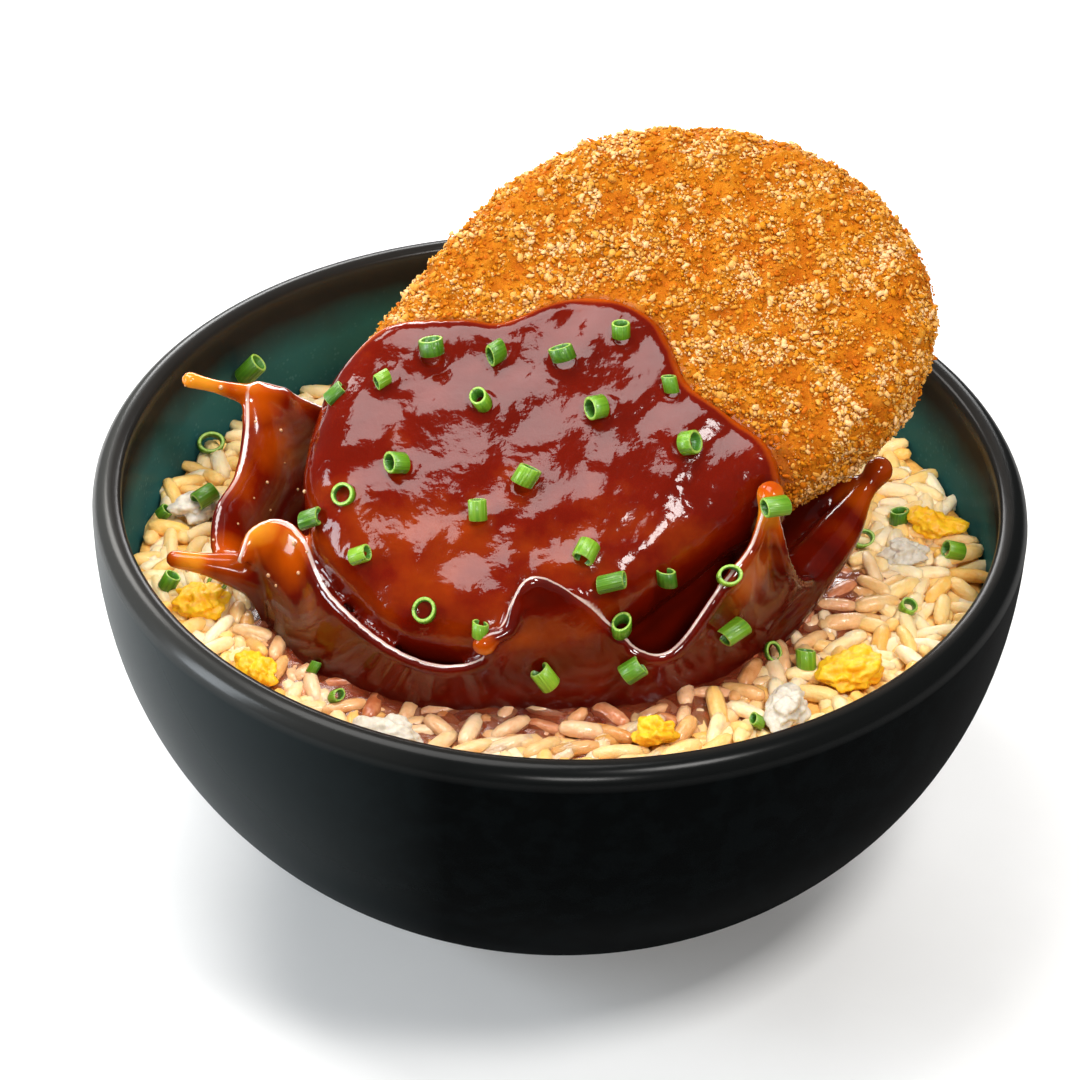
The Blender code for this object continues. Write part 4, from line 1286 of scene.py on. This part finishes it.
def make_bubbles(sauce):
    """Tiny bubbles caught in the thrown up sheets."""
    dice = np.random.default_rng(8)
    spots = points_of(sauce)
    normals = normals_of(sauce)
    thrown = (spots[:, 0] < BUBBLE_SIDE) & (spots[:, 2] > POOL_LEVEL + 4) & (normals[:, 1] < -0.2)
    thrown &= chop_clearance(spots) > 0.9
    picks = dice.choice(np.flatnonzero(thrown), BUBBLES, replace=False)
    add = bpy.ops.mesh.primitive_ico_sphere_add
    shape = shape_of(primitive("bubble", add, subdivisions=2, radius=0.5))
    places = []
    for i, size in zip(picks, dice.uniform(*BUBBLE_SIZES, BUBBLES)):
        places.append(Matrix.Translation(Vector(spots[i])) @ Matrix.Scale(size, 4))
    bubbles = scatter("sauce_bubbles", shape, places, {"tone": dice.uniform(0, 1, BUBBLES)})
    return bring_in("sauce_bubbles", bubbles, bubble_finish())


def bubble_finish():
    bubble = Finish("bubbles", roughness=0.08)
    bubble.soften(0.3, 1, (1.0, 0.2, 0.1))
    shade = bubble.cloud(0.8, 2) * 0.3 + bubble.mark("tone") * 0.7
    bubble.feed(base_color=bubble.blend(shade, (0.42, 0.14, 0.03), (0.80, 0.55, 0.33)))
    bubble.relief(bubble.cloud(0.6, 2), 0.03)
    return bubble.material


def make_egg(kind, number, place, finish):
    """A torn, crumbly lump of cooked egg that lies on the rice."""
    x, y, length, width, heading = place
    name = f"{kind}_lump_{number}"
    lump = primitive(name, bpy.ops.mesh.primitive_ico_sphere_add, subdivisions=5, radius=1.0)
    unit = points_of(lump) * MM
    middle = np.array((x, y, 0.0))
    rough = 1 + layered(unit, [(0.5, 1 / 1.1, middle), (0.2, 1 / 2.6, middle)])
    spots = unit * np.array((length, width, EGG_THICK)) / 2 * rough[:, None]
    curd, depth = EGG_CURDS[kind]
    curds = np.array([noise.voronoi(Vector(p) / curd)[0][0] for p in spots + middle])
    spots += unit * (depth * (0.55 - curds) + 0.45 * soft_noise(spots, 1.0, middle))[:, None]
    turn = np.array(Matrix.Rotation(math.radians(heading), 3, "Z"))
    spots = spots @ turn.T + middle
    floor = [rice_top(*spot[:2]) for spot in spots[::7]]
    spots[:, 2] -= np.min(spots[::7, 2] - floor) + EGG_SINK
    move_points(lump, spots)
    return bring_in(name, lump, finish, [f"egg_{kind}_{number}"])


def egg_finish(name, dark, light):
    egg = Finish(name, specular_ior_level=0.3, coat_weight=0.2, coat_roughness=0.3)
    egg.soften(0.3, 3, (1.0, 0.7, 0.3))
    torn = egg.cloud(2.2, 4, 0.6)
    egg.feed(base_color=egg.blend(torn.within(0.3, 0.7), dark, light), roughness=0.4 + torn * 0.2)
    egg.relief(torn * 0.6 + egg.cloud(0.7, 3) * 0.4, 0.35)
    return egg.material


def make_eggs():
    finishes = {
        "yolk": egg_finish("egg yolk", (0.88, 0.38, 0.003), (0.96, 0.60, 0.02)),
        "white": egg_finish("egg white", (0.52, 0.44, 0.33), (0.76, 0.71, 0.62)),
    }
    lumps = []
    for kind, places in EGGS.items():
        for number, place in enumerate(places, 1):
            lumps.append(make_egg(kind, number, place, finishes[kind]))
    return lumps


def ring_shape():
    """A short open tube along Z, 1 across and 1 long, with its points' marks.

    The skin's mark is 0 on the inside, 0.5 where the ring is cut and 1 on the outside.
    """
    sizes = {"vertices": 20, "radius": 0.5, "depth": 1.0, "end_fill_type": "NOTHING"}
    ring = primitive("ring", bpy.ops.mesh.primitive_cylinder_add, **sizes)
    modify(ring, "SOLIDIFY", thickness=RING_WALL, offset=-1)
    modify(ring, "BEVEL", width=RING_WALL * 0.3, segments=1)
    spots = points_of(ring) * MM
    across = np.hypot(spots[:, 0], spots[:, 1])
    cut = RING_WALL * 0.25
    walls = (0.5 - RING_WALL, 0.5 - RING_WALL + cut, 0.5 - cut, 0.5)
    skin = np.interp(across, walls, (0, 0.5, 0.5, 1))
    around = np.arctan2(spots[:, 1], spots[:, 0]) / math.pi
    return shape_of(ring), {"skin": skin, "around": around}


def ring_place(tree, ring, sink):
    """Where a ring lies: on the body, at the end of its sight line."""
    x, y, bearing, lean, diameter, length = ring
    bearing = math.radians(bearing)
    lean = math.radians(lean)
    aside = PICTURE_RIGHT * math.cos(bearing) + PICTURE_UP * math.sin(bearing)
    axis = TO_CAMERA * math.cos(lean) + aside * math.sin(lean)
    sight = (Vector((x, y, SIGHT_LEVEL)) - VIEWPOINT).normalized()
    spot, normal, _, _ = tree.ray_cast(VIEWPOINT, sight)
    tilt = axis.dot(normal)
    reach = length / 2 * abs(tilt) + diameter / 2 * math.sqrt(max(1 - tilt**2, 0))
    centre = spot + normal * (reach - sink)
    turn = axis.to_track_quat("Z", "Y").to_matrix().to_4x4()
    squash = 1 + RING_SQUASH * math.sin(x * 3 + y)
    size = Matrix.Diagonal((diameter * squash, diameter / squash, length, 1))
    size[2][0] = RING_SLANT * math.sin(x * 5 - y * 2)
    return Matrix.Translation(centre) @ turn @ size


def ring_places(body, rings, sink):
    tree = tree_of(body)
    return [ring_place(tree, ring, sink) for ring in rings]


def lap_rings(sauce, rings, places):
    """Draws the sauce a little way up round each ring that lies in it."""
    spots = points_of(sauce)
    normals = normals_of(sauce)
    lift = np.zeros(len(spots))
    for ring, place in zip(rings, places):
        half = np.array((place @ Vector((0, 0, 0.5))) - place.translation)
        away = spots - np.array(place.translation)
        along = np.clip(away @ half / (half @ half), -1, 1)
        gap = np.linalg.norm(away - along[:, None] * half, axis=1) - ring[4] / 2
        lift = np.maximum(lift, RING_LAP * np.exp(-((gap / RING_LAP_REACH) ** 2)))
    move_points(sauce, spots + normals * lift[:, None])


def make_rings(name, places, replaced=()):
    """Spring onion rings as one piece: green skin, and paler walls where cut."""
    shape, marks = ring_shape()
    dice = np.random.default_rng(3)
    rings = scatter(name, shape, places, {"tone": dice.uniform(0, 1, len(places))})
    for mark, numbers in marks.items():
        set_mark(rings, mark, np.tile(numbers, len(places)))
    return bring_in(name, rings, ring_finish(), replaced)


def ring_finish():
    ring = Finish("spring onion", coat_weight=0.2, coat_roughness=0.15)
    ring.soften(0.25, 2, (0.4, 1.0, 0.2))
    tone = ring.mark("tone")
    skin = ring.mark("skin")
    fibre = {"W": ring.mark("around") * 9.0 + tone * 40.0, "Scale": 1.0, "Detail": 3.0}
    streak = ring.node("TexNoise", fibre, noise_dimensions="1D")
    green = ring.shades(
        tone * 0.55 + streak * 0.45 + ring.cloud(2.5) * 0.2 - 0.1,
        (0.15, (0.026, 0.105, 0.003)), (0.45, (0.095, 0.25, 0.007)), (0.75, (0.21, 0.40, 0.018)),
    )
    pale = ring.blend(streak, (0.20, 0.38, 0.030), (0.42, 0.56, 0.12))
    edge = ring.blend(skin.within(0.5, 1.0), pale, green)
    ring.feed(base_color=ring.blend(skin.within(0.0, 0.5), (0.050, 0.18, 0.012), edge))
    ring.feed(roughness=0.28 + streak * 0.2)
    ring.relief(streak, 0.25)
    return ring.material


def place_camera():
    right = PICTURE_RIGHT * math.cos(CAMERA_ROLL) + PICTURE_UP * math.sin(CAMERA_ROLL)
    above = PICTURE_UP * math.cos(CAMERA_ROLL) - PICTURE_RIGHT * math.sin(CAMERA_ROLL)
    bpy.ops.object.camera_add()
    camera = bpy.context.object
    camera.data.lens = CAMERA_LENS
    camera.data.sensor_width = CAMERA_SENSOR
    place = Matrix((right, above, TO_CAMERA)).transposed().to_4x4()
    place.translation = (CAMERA_AIM + TO_CAMERA * CAMERA_DISTANCE) * MM
    camera.matrix_world = place
    bpy.context.scene.camera = camera


def add_light(name, spot, aim, size, power, colour):
    """A square soft light, size across, that faces aim."""
    bpy.ops.object.light_add(type="AREA", location=Vector(spot) * MM)
    light = bpy.context.object
    light.name = name
    light.data.shape = "RECTANGLE"
    light.data.size = size[0] * MM
    light.data.size_y = size[1] * MM
    light.data.energy = power
    light.data.color = colour
    away = Vector(spot) - Vector(aim)
    light.rotation_euler = away.to_track_quat("Z", "Y").to_euler()


def finish_stage():
    floor = primitive("floor", bpy.ops.mesh.primitive_plane_add, size=3.0)
    paper = Finish("pale floor", roughness=0.8)
    grain = paper.cloud(20, 3)
    paper.feed(base_color=paper.blend(grain, (0.86, 0.86, 0.86), (0.90, 0.90, 0.90)))
    paper.relief(grain, 0.05)
    floor.data.materials.append(paper.material)
    world = bpy.data.worlds.new("studio")
    world.use_nodes = True
    sky = world.node_tree.nodes["Background"]
    sky.inputs["Color"].default_value = (1.0, 1.0, 1.0, 1.0)
    sky.inputs["Strength"].default_value = WORLD_LIGHT
    bpy.context.scene.world = world
    bpy.context.scene.view_settings.view_transform = "Standard"
    for light in LIGHTS:
        add_light(*light)
    place_camera()


def main():
    bowl = make_bowl()
    chop = make_chop()
    make_crumbs("chop_crumbs", chop, crumb_shape(), *FLAKES)
    make_crumbs("chop_fine_crumbs", chop, grit_shape(), *GRIT)
    core = make_rice_core()
    sauce = make_sauce(core)
    make_film()
    lumps = make_eggs()
    make_grains(sauce, chop, lumps)
    places = ring_places(sauce, SAUCE_RINGS, RING_SINK)
    lap_rings(sauce, SAUCE_RINGS, places)
    make_bubbles(sauce)
    places += ring_places(core, RICE_RINGS, RICE_RING_SINK)
    places += ring_places(lumps[-1], EGG_RINGS, RING_SINK)
    make_rings("onion_rings", places)
    clinging = ring_places(bowl, WALL_RINGS, WALL_RING_SINK)
    make_rings("onion_rings_on_wall", clinging, ["spring_onion_1", "spring_onion_2"])
    finish_stage()


main()
